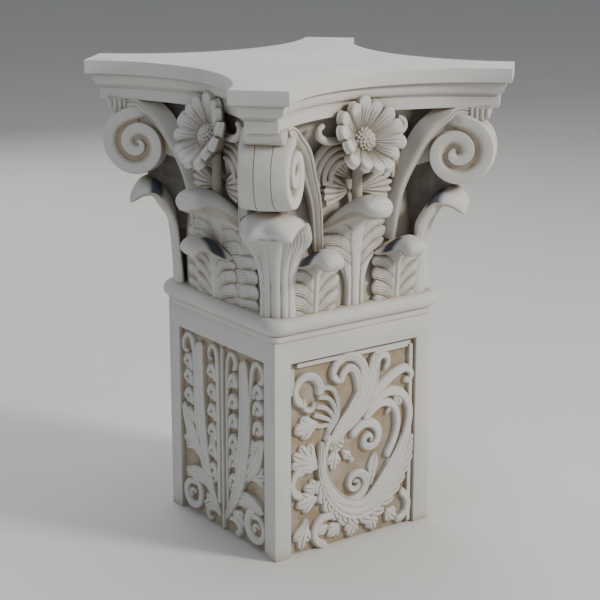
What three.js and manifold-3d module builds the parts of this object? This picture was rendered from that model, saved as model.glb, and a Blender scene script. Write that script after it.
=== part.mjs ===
// A Corinthian capital on a short square pier with carved panels.
// Millimetres, +Z up, origin at the centre of the pier's underside, -Y is the front.
import * as THREE from "three";
import { mergeVertices } from "three/addons/utils/BufferGeometryUtils.js";
import Module from "manifold-3d";

const wasm = await Module();
wasm.setup();

// Pier
const PIER_HALF = 150;
const PIER_HEIGHT = 348;
const PANEL_HALF = 120.5;
const PANEL_TOP = 312;
const PANEL_DEPTH = 10;
const STRIP_SINK = 3;
const JOINT_GAP = 0.3;

// Astragal: a thin fillet under a half-round that turns the corners
const FILLET_HALF = 153;
const FILLET_CORNER = 12;
const FILLET_TOP = 360;
const FILLET_EASE = 2;
const TORUS_HALF = 164;
const TORUS_CORNER = 30;
const TORUS_RADIUS = 13;
const TORUS_HEIGHT = 372;
const TORUS_SWEEP = THREE.MathUtils.degToRad(170);

// Bell
const BELL_CORNER = 40;
const BELL_BASE_HALF = 139;
const BELL_BASE_TOP = 470;
const BELL_NECK_HALF = 128;
const BELL_NECK_HEIGHT = 590;
const BELL_LIP_HALF = 138;
const BELL_LIP_HEIGHT = 662;

// Abacus
const TOTAL_HEIGHT = 738;
const ABACUS_UNDERSIDE = 676;
const SIDE_MIDDLE = 174;
const HORN_CORNER = 261;
const HORN_CORNER_SHORT = 201;
const SOFFIT_INSET = 19;
const LOWER_FASCIA_TOP = 694;
const UPPER_FASCIA_BOTTOM = 717;
const SIDE_STEPS = 5;

// Volutes
const VOLUTE_REACH = 247.5;
const VOLUTE_HEIGHT = 609;
const VOLUTE_RADIUS = 64.5;
const VOLUTE_PITCH = 29.5;
const VOLUTE_TURNS = 1.9;
const VOLUTE_BAND = 22;
const VOLUTE_NOSE_REACH = 307;
const VOLUTE_NOSE_HALF = 34;
const VOLUTE_SPLAY = 0.1;
const VOLUTE_RECESS = 6;

// Pad between a horn and its volute
const PAD_HALF = 27;
const PAD_FRONT = 297.5;
const PAD_BACK = 240;
const PAD_LOW = 656;
const PAD_ROUND = 14;

// Flower at the middle of each side
const FLOWER_REACH = 160;
const FLOWER_HEIGHT = 637;
const FLOWER_RADIUS = 60;
const FLOWER_CUP = 24;
const FLOWER_TILT = THREE.MathUtils.degToRad(20);
const PETALS = 14;
const HIDDEN_PETALS = 10;
const BUTTON_RADIUS = 17;

// How far a piece runs into the one above it
const JOIN = 3;

// Finish
const PIER_COLOUR = 0xc9c6bf;
const CAPITAL_COLOUR = 0xcfccc6;
const STONE_ROUGHNESS = 0.8;

// Sides count from the front, turning towards +X. The two hidden ones have plainer carving.
const HIDDEN_SIDES = [1, 2];
const FACES = [0, 1, 2, 3].map((k) => (k * Math.PI) / 2);
const CORNERS = FACES.map((angle) => angle + Math.PI / 4);

// ---------------------------------------------------------------- helpers

// The most points a ring has when it is sure to be convex.
const CONVEX_RING = 4;

// Reads a value off a list of [place, value] stops, straight between them.
function between(stops, place) {
  const after = stops.findIndex(([at]) => at >= place);
  if (after <= 0) return stops[after < 0 ? stops.length - 1 : 0][1];
  const [a, low] = stops[after - 1];
  const [b, high] = stops[after];
  return low + ((high - low) * (place - a)) / (b - a);
}

function ringMiddle(ring) {
  return ring.reduce((sum, point) => sum.add(point), new THREE.Vector3()).divideScalar(ring.length);
}

// A closed surface through closed rings of the same number of points. The ends of three- and
// four-cornered sections are fans from a corner, and those of all others are fans from their middle.
function loft(rings) {
  const count = rings[0].length;
  const points = rings.flat();
  const index = [];
  for (let ring = 0; ring + 1 < rings.length; ring++) {
    for (let i = 0; i < count; i++) {
      const a = ring * count + i;
      const b = ring * count + ((i + 1) % count);
      index.push(a, b, b + count, a, b + count, a + count);
    }
  }
  const lastStart = (rings.length - 1) * count;
  if (count <= CONVEX_RING) {
    for (let i = 1; i + 1 < count; i++) {
      index.push(0, i + 1, i, lastStart, lastStart + i, lastStart + i + 1);
    }
  } else {
    const first = points.push(ringMiddle(rings[0])) - 1;
    const last = points.push(ringMiddle(rings[rings.length - 1])) - 1;
    for (let i = 0; i < count; i++) {
      const j = (i + 1) % count;
      index.push(first, j, i, last, lastStart + i, lastStart + j);
    }
  }
  const geometry = new THREE.BufferGeometry().setFromPoints(points);
  geometry.setIndex(index);
  return geometry;
}

function signedVolume(position, triangles) {
  const corner = (i) => new THREE.Vector3().fromArray(position, 3 * triangles[i]);
  let sum = 0;
  for (let i = 0; i < triangles.length; i += 3) {
    sum += corner(i).dot(corner(i + 1).cross(corner(i + 2)));
  }
  return sum / 6;
}

// Turns a closed geometry into a solid whose faces point out.
function solid(geometry) {
  const bare = geometry.clone();
  bare.deleteAttribute("normal");
  bare.deleteAttribute("uv");
  const merged = mergeVertices(bare, 1e-4);
  const vertProperties = merged.attributes.position.array;
  const triVerts = new Uint32Array(merged.index.array);
  if (signedVolume(vertProperties, triVerts) < 0) triVerts.reverse();
  return new wasm.Manifold(new wasm.Mesh({ numProp: 3, vertProperties, triVerts }));
}

function join(geometries) {
  return geometries.map(solid).reduce((whole, piece) => whole.add(piece));
}

// Local (across, outward, up) to the side that faces along the turned -Y axis.
function turned(geometry, angle) {
  return geometry.clone().applyMatrix4(new THREE.Matrix4().makeRotationZ(angle));
}

function outwardPoint(across, outward, up) {
  return new THREE.Vector3(across, -outward, up);
}

function block(left, right, back, front, bottom, top) {
  const box = new THREE.BoxGeometry(right - left, front - back, top - bottom);
  return box.translate((left + right) / 2, -(back + front) / 2, (bottom + top) / 2);
}

// One ring of a square with round corners.
function roundedSquare(half, corner, height, steps) {
  const ring = [];
  for (const turn of FACES) {
    for (let i = 0; i <= steps; i++) {
      const angle = turn + ((i / steps) * Math.PI) / 2;
      const middle = half - corner;
      const sx = Math.sign(Math.cos(turn + Math.PI / 4));
      const sy = Math.sign(Math.sin(turn + Math.PI / 4));
      ring.push(
        new THREE.Vector3(
          sx * middle + corner * Math.cos(angle),
          sy * middle + corner * Math.sin(angle),
          height,
        ),
      );
    }
  }
  return ring;
}

// ---------------------------------------------------------------- pier

// How deep a ridge is rooted in the ground it stands on, and how far a cutter runs past what it cuts.
const RIDGE_ROOT = 3;
const OVERRUN = 5;
// How far a ridge stands off the ground, and how much of a turn one of its steps covers.
const RELIEF = 9;
const LOW_RELIEF = 7;
const SCROLL_STEP = 56;

// A ridge that follows a flat path of [across, up] points on a panel, its width given along the path.
function ridge(path, widths, height) {
  const rings = path.map((point, i) => {
    const before = path[Math.max(i - 1, 0)];
    const after = path[Math.min(i + 1, path.length - 1)];
    const along = after.clone().sub(before).normalize();
    const side = new THREE.Vector2(-along.y, along.x);
    const half = between(widths, i / (path.length - 1));
    const floor = PIER_HALF - PANEL_DEPTH - RIDGE_ROOT;
    const top = PIER_HALF - PANEL_DEPTH + height;
    return [
      outwardPoint(point.x - half * side.x, floor, point.y - half * side.y),
      outwardPoint(point.x, top, point.y),
      outwardPoint(point.x + half * side.x, floor, point.y + half * side.y),
    ];
  });
  return loft(rings);
}

// A scroll: an arc about a centre whose radius shrinks from first to last over the turn, in degrees.
function scroll(x, z, first, last, start, turn, wide, narrow) {
  const steps = Math.max(4, Math.round(Math.abs(turn) / SCROLL_STEP));
  const path = [];
  for (let i = 0; i <= steps; i++) {
    const t = i / steps;
    const radius = first * (last / first) ** t;
    const angle = THREE.MathUtils.degToRad(start + turn * t);
    path.push(new THREE.Vector2(x + radius * Math.cos(angle), z + radius * Math.sin(angle)));
  }
  return ridge(path, [[0, wide], [1, narrow]], RELIEF);
}

// A stalk or leaf: a smooth curve through a few points, swelling in the middle.
function stalk(points, steps, widths, height = RELIEF) {
  const curve = new THREE.SplineCurve(points.map(([x, z]) => new THREE.Vector2(x, z)));
  return ridge(curve.getPoints(steps), widths, height);
}

const LEAF_SWELL = [[0, 4], [0.5, 15], [1, 3]];

// The scrolling foliage of the front and back panels, the back one with its main scrolls only.
function foliagePanel(plain) {
  const main = [
    scroll(31, 161, 30, 5, 150, -580, 8, 4),
    scroll(5, 92, 82, 6, 128, 440, 9, 4),
    stalk([[-40, 168], [5, 214], [32, 254], [42, 298]], 5, [[0, 10], [0.6, 17], [1, 9]]),
    scroll(-10, 278, 28, 20, -20, 210, 9, 6),
    scroll(-92, 113, 26, 20, 60, 215, 8, 5),
    scroll(-50, 25, 26, 22, 60, 200, 8, 5),
    stalk([[30, 212], [76, 231], [110, 200], [101, 152], [68, 105]], 7, [[0, 8], [1, 6]]),
    stalk([[-64, 170], [-55, 108], [-24, 52], [12, 42], [52, 68], [84, 118], [108, 150]], 8,
      [[0, 6], [0.45, 20], [0.7, 26], [1, 12]]),
  ];
  if (plain) return main;
  return [
    ...main,
    ...panelStrips(),
    scroll(-8, 268, 17, 13, -20, 220, 7, 5),
    scroll(51, 279, 16, 9, 190, -230, 8, 5),
    stalk([[40, 232], [78, 255], [104, 262], [112, 250], [101, 247]], 5, [[0, 9], [1, 5]]),
    stalk([[25, 198], [60, 214], [88, 182], [74, 140]], 5, [[0, 8], [1, 5]]),
    scroll(-87, 262, 23, 21, -30, 300, 7, 5),
    stalk([[-52, 180], [-26, 226], [-38, 254], [-66, 262]], 4, [[0, 6], [1, 6]]),
    stalk([[-60, 210], [-90, 208], [-110, 190]], 4, LEAF_SWELL),
    stalk([[-68, 132], [-88, 152], [-106, 172]], 4, [[0, 5], [0.7, 22], [1, 8]]),
    stalk([[-68, 82], [-92, 86], [-108, 72]], 4, [[0, 5], [1, 11]]),
    stalk([[-88, 52], [-98, 30], [-98, 8]], 3, LEAF_SWELL),
    scroll(86, 32, 26, 24, 80, -160, 7, 5),
    stalk([[42, 128], [42, 104], [38, 84]], 3, [[0, 3], [0.5, 12], [1, 3]]),
    stalk([[-20, 28], [10, 18], [48, 30]], 4, [[0, 6], [0.5, 14], [1, 6]]),
  ];
}

// The upright foliage of the side panels, the same on both sides of its middle rod.
function treePanel(plain) {
  const pieces = [stalk([[0, 4], [0, 304]], 1, [[0, 7], [1, 7]])];
  for (const side of [-1, 1]) {
    const mirror = (points) => points.map(([x, z]) => [side * x, z]);
    pieces.push(
      stalk(mirror([[8, 30], [44, 84], [60, 180], [58, 300]]), 4, [[0, 9], [0.5, 15], [1, 12]]),
      stalk(mirror([[52, 96], [84, 128], [112, 170]]), 2, [[0, 8], [0.5, 14], [1, 4]]),
      stalk(mirror([[30, 78], [30, 170], [30, 268]]), 1, [[0, 12], [1, 9]], LOW_RELIEF),
      stalk(mirror([[96, 160], [100, 210], [94, 262]]), 2, [[0, 12], [1, 8]], LOW_RELIEF),
      scroll(side * 90, 36, 26, 22, 90, side * 290, 8, 6),
    );
    if (plain) continue;
    pieces.push(
      stalk(mirror([[12, 60], [12, 292], [24, 302], [34, 286]]), 5, [[0, 5], [1, 5]], LOW_RELIEF),
      stalk(mirror([[100, 190], [112, 250], [104, 296], [86, 298], [84, 276]]), 5, [[0, 5], [1, 6]]),
      stalk(mirror([[20, 44], [44, 40], [52, 14]]), 3, [[0, 6], [1, 9]]),
    );
  }
  return pieces;
}

// The thin inner strip of the front and back panels, along the top and down the sides.
function panelStrips() {
  const floor = PIER_HALF - PANEL_DEPTH - RIDGE_ROOT;
  const top = PIER_HALF - STRIP_SINK;
  return [
    block(-112, 114, floor, top, 302, 309),
    block(111, 117, floor, top, 0, 306),
    block(-118, -111, floor, top, 258, 306),
  ];
}

function pierShaft() {
  const ground = PIER_HALF - PANEL_DEPTH;
  const recess = block(-PANEL_HALF, PANEL_HALF, ground, PIER_HALF + OVERRUN, -OVERRUN, PANEL_TOP);
  const body = solid(block(-PIER_HALF, PIER_HALF, -PIER_HALF, PIER_HALF, 0, PIER_HEIGHT));
  let shaft = body;
  FACES.forEach((angle, side) => {
    shaft = shaft.subtract(solid(turned(recess, angle)));
    const plain = HIDDEN_SIDES.includes(side);
    const carving = side % 2 ? treePanel(plain) : foliagePanel(plain);
    shaft = shaft.add(join(carving.map((piece) => turned(piece, angle))));
  });
  return shaft.intersect(body);
}

// ---------------------------------------------------------------- astragal, bell and abacus

function astragal() {
  const cornerSteps = 3;
  const arcSteps = 4;
  const base = PIER_HEIGHT + JOINT_GAP;
  const rings = [
    roundedSquare(FILLET_HALF - FILLET_EASE, FILLET_CORNER, base, cornerSteps),
    roundedSquare(FILLET_HALF, FILLET_CORNER, base + FILLET_EASE, cornerSteps),
    roundedSquare(FILLET_HALF, FILLET_CORNER, FILLET_TOP - FILLET_EASE, cornerSteps),
  ];
  for (let i = 0; i <= arcSteps; i++) {
    const angle = (i / arcSteps - 0.5) * TORUS_SWEEP;
    const out = TORUS_RADIUS * (Math.cos(angle) - 1);
    const height = TORUS_HEIGHT + TORUS_RADIUS * Math.sin(angle);
    rings.push(roundedSquare(TORUS_HALF + out, TORUS_CORNER + out, height, cornerSteps));
  }
  return loft(rings);
}

function bell() {
  const ring = (half, height) => roundedSquare(half, BELL_CORNER, height, 2);
  return loft([
    ring(BELL_BASE_HALF, FILLET_TOP),
    ring(BELL_BASE_HALF, BELL_BASE_TOP),
    ring(BELL_NECK_HALF, BELL_NECK_HEIGHT),
    ring(BELL_LIP_HALF, BELL_LIP_HEIGHT),
    ring(BELL_LIP_HALF, ABACUS_UNDERSIDE + OVERRUN),
  ]);
}

// The abacus in plan: four hollow sides between four cut-off horns, drawn in by inset.
function abacusRing(inset, height) {
  const sagitta = HORN_CORNER - SIDE_MIDDLE;
  const radius = (HORN_CORNER_SHORT ** 2 + sagitta ** 2) / (2 * sagitta);
  const centre = SIDE_MIDDLE + radius;
  const hollow = radius + inset;
  const horn = HORN_CORNER + HORN_CORNER_SHORT - Math.SQRT2 * inset;
  const offset = centre - horn;
  const end = (Math.sqrt(2 * hollow ** 2 - offset ** 2) - offset) / 2;
  const sweep = Math.asin(end / hollow);
  const ring = [];
  for (const angle of FACES) {
    for (let i = 0; i <= SIDE_STEPS; i++) {
      const at = sweep * ((2 * i) / SIDE_STEPS - 1);
      const point = outwardPoint(hollow * Math.sin(at), centre - hollow * Math.cos(at), height);
      ring.push(point.applyAxisAngle(new THREE.Vector3(0, 0, 1), angle));
    }
  }
  return ring;
}

function abacus() {
  const profile = [
    [SOFFIT_INSET, ABACUS_UNDERSIDE],
    [SOFFIT_INSET, LOWER_FASCIA_TOP],
    [SOFFIT_INSET - 2, LOWER_FASCIA_TOP + 4],
    [10, 706],
    [8, 714],
    [0, UPPER_FASCIA_BOTTOM],
    [0, TOTAL_HEIGHT],
  ];
  return loft(profile.map(([inset, height]) => abacusRing(inset, height)));
}

// A plate of an outline drawn as (outward, up), half as thick as said on each side.
function diagonalPlate(outline, half) {
  const settings = { depth: 2 * half, bevelEnabled: false, curveSegments: 3 };
  const plate = new THREE.ExtrudeGeometry(outline, settings);
  const outwardUpAcross = new THREE.Matrix4().set(0, 0, 1, 0, -1, 0, 0, 0, 0, 1, 0, 0, 0, 0, 0, 1);
  return plate.translate(0, 0, -half).applyMatrix4(outwardUpAcross);
}

// The small pad between an abacus horn and its volute, rounded below.
function hornPad() {
  const top = ABACUS_UNDERSIDE + JOIN;
  const outline = new THREE.Shape();
  outline.moveTo(PAD_BACK, top);
  outline.lineTo(PAD_FRONT, top);
  outline.lineTo(PAD_FRONT, PAD_LOW + PAD_ROUND);
  outline.quadraticCurveTo(PAD_FRONT, PAD_LOW, PAD_FRONT - PAD_ROUND, PAD_LOW);
  outline.lineTo(PAD_BACK, PAD_LOW - PAD_ROUND);
  return diagonalPlate(outline, PAD_HALF);
}

// ---------------------------------------------------------------- volutes

// Half the width of a volute, which narrows towards its nose.
function voluteHalf(reach) {
  return VOLUTE_NOSE_HALF + VOLUTE_SPLAY * (VOLUTE_NOSE_REACH - reach);
}

// The coil's outer radius and its angle, at a number of turns from its top.
function coilRadius(turns) {
  return VOLUTE_RADIUS - VOLUTE_PITCH * turns;
}

function coilAngle(turns) {
  return Math.PI / 2 - 2 * Math.PI * turns;
}

function coil() {
  const rings = [];
  const stepsPerTurn = 9;
  const steps = Math.round(VOLUTE_TURNS * stepsPerTurn);
  for (let i = -1; i <= steps; i++) {
    const turns = i / stepsPerTurn;
    const outer = coilRadius(turns);
    const inner = outer - Math.min(VOLUTE_BAND, 0.8 * outer);
    const at = (radius, side) => {
      const reach = VOLUTE_REACH + radius * Math.cos(coilAngle(turns));
      const up = VOLUTE_HEIGHT + radius * Math.sin(coilAngle(turns));
      return outwardPoint(side * voluteHalf(reach), reach, up);
    };
    rings.push([at(outer, -1), at(outer, 1), at(inner, 1), at(inner, -1)]);
  }
  return loft(rings);
}

// Web: where it leaves the bell, and how far its foot slopes outward and up
const WEB_ROOT = 165;
const WEB_FOOT = 470;
const WEB_FOOT_OUT = 21;
const WEB_FOOT_RISE = 35;

// The web between the two stems. It carries the horn down to the bell, and is the sunk ground
// that shows in the groove between the coil's turns.
function web() {
  const outline = new THREE.Shape();
  outline.moveTo(WEB_ROOT, ABACUS_UNDERSIDE + JOIN);
  outline.lineTo(WEB_ROOT, WEB_FOOT);
  outline.lineTo(WEB_ROOT + WEB_FOOT_OUT, WEB_FOOT + WEB_FOOT_RISE);
  const groundSteps = 3;
  const firstTurn = 0.72;
  const lastTurn = 0.04;
  for (let i = 0; i <= groundSteps; i++) {
    const turns = firstTurn + ((lastTurn - firstTurn) * i) / groundSteps;
    const radius = coilRadius(turns) - VOLUTE_BAND / 2;
    const angle = coilAngle(turns);
    outline.lineTo(VOLUTE_REACH + radius * Math.cos(angle), VOLUTE_HEIGHT + radius * Math.sin(angle));
  }
  outline.lineTo(VOLUTE_REACH + 10, ABACUS_UNDERSIDE + JOIN);
  return diagonalPlate(outline, VOLUTE_NOSE_HALF - VOLUTE_RECESS);
}

// Stem: half its width at the top and at the foot
const STEM_HALF_TOP = 13;
const STEM_HALF_FOOT = 9.5;
const STEM_STEPS = 5;

// The stem that leaves a volute's top and runs down the bell beside the middle leaf.
function stem(side) {
  const diagonal = (reach, across, up) => {
    const point = outwardPoint(across, reach, up);
    return point.applyAxisAngle(new THREE.Vector3(0, 0, 1), (side * Math.PI) / 4);
  };
  const route = new THREE.CatmullRomCurve3([
    diagonal(250, -side * 27, 658),
    diagonal(219, -side * 32, 651),
    outwardPoint(side * 98, 158, 600),
    outwardPoint(side * 78, 150, 548),
    outwardPoint(side * 69, 144, 480),
  ]);
  const out = new THREE.Vector3(side * 0.25, -1, 0).normalize();
  const rings = [];
  for (let i = 0; i <= STEM_STEPS; i++) {
    const t = i / STEM_STEPS;
    const half = STEM_HALF_TOP + (STEM_HALF_FOOT - STEM_HALF_TOP) * t;
    const centre = route.getPoint(t);
    const along = route.getTangent(t);
    const across = new THREE.Vector3().crossVectors(along, out).normalize();
    const front = new THREE.Vector3().crossVectors(across, along).normalize();
    const corner = (a, b) => {
      return centre.clone().addScaledVector(across, a * half).addScaledVector(front, b * half);
    };
    rings.push([corner(-1, -0.8), corner(0, 1), corner(1, -0.8)]);
  }
  return loft(rings);
}

// ---------------------------------------------------------------- leaves

// Rows of a leaf, and where across its half width its front and back have their points
const LEAF_ROWS = 8;
const HIDDEN_LEAF_ROWS = 6;
const LEAF_FRONT = [-1, -0.35, 0.35, 1];
const LEAF_BACK = [1, -1];

// A leaf that stands on the astragal and curls outward into a hood. Its middle line is [outward, up]
// points, its edge is cut into lobes, and its edges fall below the middle line and lie back behind it.
function leaf({ middle, halves, thickness, fall, back, lobe }, rows = LEAF_ROWS) {
  const line = new THREE.SplineCurve(middle.map(([out, up]) => new THREE.Vector2(out, up)));
  const rings = [];
  for (let row = 0; row <= rows; row++) {
    const s = row / rows;
    const at = line.getPointAt(s);
    const along = line.getTangentAt(s);
    const normal = new THREE.Vector2(along.y, -along.x);
    const half = between(halves, s) * (row % 2 ? 1 : 1 - lobe);
    const thick = between(thickness, s) / 2;
    const point = (w, side) => {
      const off = side * thick * (1 - 0.35 * w * w);
      const outward = at.x + normal.x * off - between(back, s) * w * w;
      return outwardPoint(w * half, outward, at.y + normal.y * off - between(fall, s) * w * w);
    };
    rings.push([...LEAF_FRONT.map((w) => point(w, 1)), ...LEAF_BACK.map((w) => point(w, -1))]);
  }
  return loft(rings);
}

const SMALL_LEAF = {
  middle: [[142, 366], [147, 420], [151, 450], [162, 471], [181, 477], [199, 466]],
  halves: [[0, 43], [0.5, 44], [0.66, 40], [0.85, 27], [1, 15]],
  thickness: [[0, 12], [0.6, 11], [0.85, 21], [1, 15]],
  fall: [[0, 0], [0.5, 2], [0.64, 18], [0.8, 16], [1, 4]],
  back: [[0, 0], [0.6, 3], [0.8, 8], [1, 3]],
  lobe: 0.14,
};
const SMALL_LEAF_SIDE = {
  ...SMALL_LEAF,
  halves: [[0, 57], [0.4, 56], [0.6, 50], [0.72, 40], [0.85, 28], [1, 15]],
  fall: [[0, 0], [0.5, 2], [0.64, 26], [0.8, 20], [1, 4]],
};
const STALKED_LEAF = {
  middle: [[141, 366], [143, 440], [145, 498], [153, 529], [172, 545], [196, 546], [218, 533]],
  halves: [[0, 20], [0.26, 21], [0.46, 58], [0.6, 65], [0.72, 56], [0.87, 34], [1, 16]],
  thickness: [[0, 12], [0.5, 11], [0.7, 18], [0.9, 26], [1, 18]],
  fall: [[0, 0], [0.44, 2], [0.56, 20], [0.66, 32], [0.8, 22], [0.92, 6], [1, 2]],
  back: [[0, 0], [0.5, 4], [0.66, 14], [0.8, 12], [1, 2]],
  lobe: 0.12,
};
const BROAD_LEAF = {
  ...STALKED_LEAF,
  halves: [[0, 97], [0.3, 96], [0.45, 92], [0.6, 84], [0.72, 62], [0.87, 36], [1, 16]],
  lobe: 0.1,
};
const CORNER_LEAF = {
  middle: [[190, 366], [195, 440], [198, 482], [208, 512], [228, 534], [248, 537], [262, 521]],
  halves: [[0, 28], [0.35, 29], [0.5, 38], [0.62, 50], [0.75, 52], [0.88, 42], [1, 20]],
  thickness: [[0, 16], [0.5, 13], [0.75, 20], [1, 11]],
  fall: [[0, 0], [0.45, 0], [0.58, 16], [0.68, 22], [0.8, 12], [0.89, 18], [1, 5]],
  back: [[0, 8], [0.5, 10], [0.7, 14], [0.85, 6], [1, 0]],
  lobe: 0.06,
};

// Leaves of the front and back: two small ones beside a stalked one.
function frontLeaves(rows) {
  const small = leaf(SMALL_LEAF, rows);
  return [small.clone().translate(-77, 0, 0), small.clone().translate(77, 0, 0), leaf(STALKED_LEAF, rows)];
}

// Leaves of the two sides: one small one before a broad one.
function sideLeaves(rows) {
  return [leaf(SMALL_LEAF_SIDE, rows).translate(-10, 0, 0), leaf(BROAD_LEAF, rows)];
}

// ---------------------------------------------------------------- flower and tendrils

// An open flower that leans forward: a raised button in a cup of petals, joined to the bell by its back.
// Each row is a ring's share of the radius, its share of the cup's depth, and how deep its notches are.
function flower(petals) {
  const steps = 2 * petals;
  const button = BUTTON_RADIUS / FLOWER_RADIUS;
  const rows = [
    [0.65 * button, 0.42, 0],
    [button, 0.05, 0],
    [1, 1, 0.13],
    [0.28, -1.5, 0],
  ];
  const rings = rows.map(([radius, depth, notch]) => {
    const ring = [];
    for (let i = 0; i < steps; i++) {
      const angle = (2 * Math.PI * i) / steps;
      const r = FLOWER_RADIUS * radius * (i % 2 ? 1 : 1 - notch);
      const out = FLOWER_REACH + FLOWER_CUP * depth;
      ring.push(outwardPoint(r * Math.cos(angle), out, FLOWER_HEIGHT + r * Math.sin(angle)));
    }
    return ring;
  });
  const upright = loft(rings).translate(0, FLOWER_REACH, -FLOWER_HEIGHT);
  return upright.rotateX(FLOWER_TILT).translate(0, -FLOWER_REACH, FLOWER_HEIGHT);
}

// Flower stem and the ribbed leaflet on each side of it
const STEM_TOP_RADIUS = 6;
const STEM_FOOT_RADIUS = 8;
const STEM_HEIGHT = 575;
const LEAFLET_HEIGHT = 572;
const LEAFLET_REACH = 44;
const LEAFLET_NOTCH = 0.16;
const LEAFLET_BACK = 125;
const LEAFLET_THICKNESS = 20;

// The stem stands against the bell, and its leaflets lie low on both sides.
function flowerStem() {
  const post = new THREE.CylinderGeometry(STEM_TOP_RADIUS, STEM_FOOT_RADIUS, 80, 5);
  const pieces = [post.rotateX(Math.PI / 2).translate(0, -BELL_BASE_HALF, STEM_HEIGHT)];
  for (const side of [-1, 1]) {
    const rings = [0, 1].map((front) => {
      const out = LEAFLET_BACK + LEAFLET_THICKNESS * front;
      const ring = [outwardPoint(side * 4, out, LEAFLET_HEIGHT - 12)];
      for (let i = 0; i <= 4; i++) {
        const angle = THREE.MathUtils.degToRad(-12 + 22 * i);
        const reach = LEAFLET_REACH * (i % 2 ? 1 : 1 - LEAFLET_NOTCH);
        const up = LEAFLET_HEIGHT + reach * Math.sin(angle);
        ring.push(outwardPoint(side * (4 + reach * Math.cos(angle)), out, up));
      }
      return ring;
    });
    pieces.push(loft(rings));
  }
  return pieces;
}

// Tendril: its hook's centre, how its radius and half width shrink, and how far it stands off the bell
const TENDRIL_ACROSS = 62;
const TENDRIL_HEIGHT = 640;
const TENDRIL_RADII = [30, 18];
const TENDRIL_HALVES = [7, 5];
const TENDRIL_BACK = 130;
const TENDRIL_DEPTH = 24;
const TENDRIL_START = -60;
const TENDRIL_SWEEP = 250;

// The hooked tendril that curls in under the abacus beside the flower.
function tendril(side) {
  const rings = [];
  const steps = 5;
  for (let i = 0; i <= steps; i++) {
    const t = i / steps;
    const angle = THREE.MathUtils.degToRad(TENDRIL_START + TENDRIL_SWEEP * t);
    const radius = THREE.MathUtils.lerp(...TENDRIL_RADII, t);
    const half = THREE.MathUtils.lerp(...TENDRIL_HALVES, t);
    const at = (r, out) => {
      const across = side * (TENDRIL_ACROSS + r * Math.cos(angle));
      return outwardPoint(across, out, TENDRIL_HEIGHT + r * Math.sin(angle));
    };
    rings.push([
      at(radius + half, TENDRIL_BACK),
      at(radius, TENDRIL_BACK + TENDRIL_DEPTH),
      at(radius - half, TENDRIL_BACK),
    ]);
  }
  return loft(rings);
}

function capital() {
  const pieces = [astragal(), bell(), abacus()];
  const volute = [hornPad(), web(), coil(), leaf(CORNER_LEAF)];
  CORNERS.forEach((angle) => pieces.push(...volute.map((piece) => turned(piece, angle))));
  const stems = [stem(-1), stem(1)];
  const sprays = [...flowerStem(), tendril(-1), tendril(1)];
  FACES.forEach((angle, side) => {
    const hidden = HIDDEN_SIDES.includes(side);
    const rows = hidden ? HIDDEN_LEAF_ROWS : LEAF_ROWS;
    const leaves = side % 2 ? sideLeaves(rows) : frontLeaves(rows);
    const blossom = flower(hidden ? HIDDEN_PETALS : PETALS);
    const ofThisSide = [blossom, ...stems, ...leaves, ...(hidden ? [] : sprays)];
    pieces.push(...ofThisSide.map((piece) => turned(piece, angle)));
  });
  return join(pieces);
}

// ---------------------------------------------------------------- the scene

function meshOf(made, name, color) {
  const { numProp, vertProperties, triVerts } = made.getMesh();
  const geometry = new THREE.BufferGeometry();
  geometry.setAttribute("position", new THREE.BufferAttribute(vertProperties, numProp));
  geometry.setIndex(new THREE.BufferAttribute(triVerts, 1));
  geometry.computeVertexNormals();
  const material = new THREE.MeshStandardMaterial({ color, roughness: STONE_ROUGHNESS, metalness: 0 });
  const mesh = new THREE.Mesh(geometry, material);
  mesh.name = name;
  return mesh;
}

const group = new THREE.Group();
group.add(meshOf(pierShaft(), "pier_shaft", PIER_COLOUR));
group.add(meshOf(capital(), "capital", CAPITAL_COLOUR));

export default group;
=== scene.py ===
"""Looks of a Corinthian capital on a panelled pier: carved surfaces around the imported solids.

Lengths below are in millimetres of the model, and UNIT turns them into metres. A side's own
directions are across, outward and up; a side is turned about the vertical axis to its place.
"""

import math

import bmesh
import bpy
import numpy as np
from mathutils import Matrix, Vector


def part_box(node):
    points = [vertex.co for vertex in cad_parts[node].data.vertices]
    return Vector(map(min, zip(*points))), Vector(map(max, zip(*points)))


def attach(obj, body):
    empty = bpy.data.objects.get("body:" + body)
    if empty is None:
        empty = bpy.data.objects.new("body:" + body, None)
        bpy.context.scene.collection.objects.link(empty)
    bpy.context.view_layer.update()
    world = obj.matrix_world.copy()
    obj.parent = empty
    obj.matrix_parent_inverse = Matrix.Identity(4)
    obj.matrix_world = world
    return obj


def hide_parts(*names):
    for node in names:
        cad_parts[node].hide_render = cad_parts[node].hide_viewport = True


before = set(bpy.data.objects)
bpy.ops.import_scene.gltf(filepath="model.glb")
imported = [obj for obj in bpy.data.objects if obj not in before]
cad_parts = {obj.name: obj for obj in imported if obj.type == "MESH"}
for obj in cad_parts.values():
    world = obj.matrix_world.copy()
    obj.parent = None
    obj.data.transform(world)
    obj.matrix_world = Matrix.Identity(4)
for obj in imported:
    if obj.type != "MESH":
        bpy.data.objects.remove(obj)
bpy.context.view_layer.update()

# ---------------------------------------------------------------- sizes, from the frame

PIER_HALF = 150.0
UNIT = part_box("pier_shaft")[1].x / PIER_HALF
PIER_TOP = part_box("pier_shaft")[1].z / UNIT
CAPITAL_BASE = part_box("capital")[0].z / UNIT
TOTAL_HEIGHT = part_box("capital")[1].z / UNIT
HORN_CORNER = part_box("capital")[1].x / UNIT

PANEL_HALF = 120.5
PANEL_TOP = PIER_TOP - 36
PANEL_DEPTH = 10.0
GROUND = PIER_HALF - PANEL_DEPTH

FILLET_HALF, FILLET_CORNER, FILLET_TOP = 153.0, 12.0, CAPITAL_BASE + 11.7
TORUS_HALF, TORUS_CORNER, TORUS_RADIUS = 164.0, 30.0, 13.0
TORUS_HEIGHT = FILLET_TOP + 12

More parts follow.
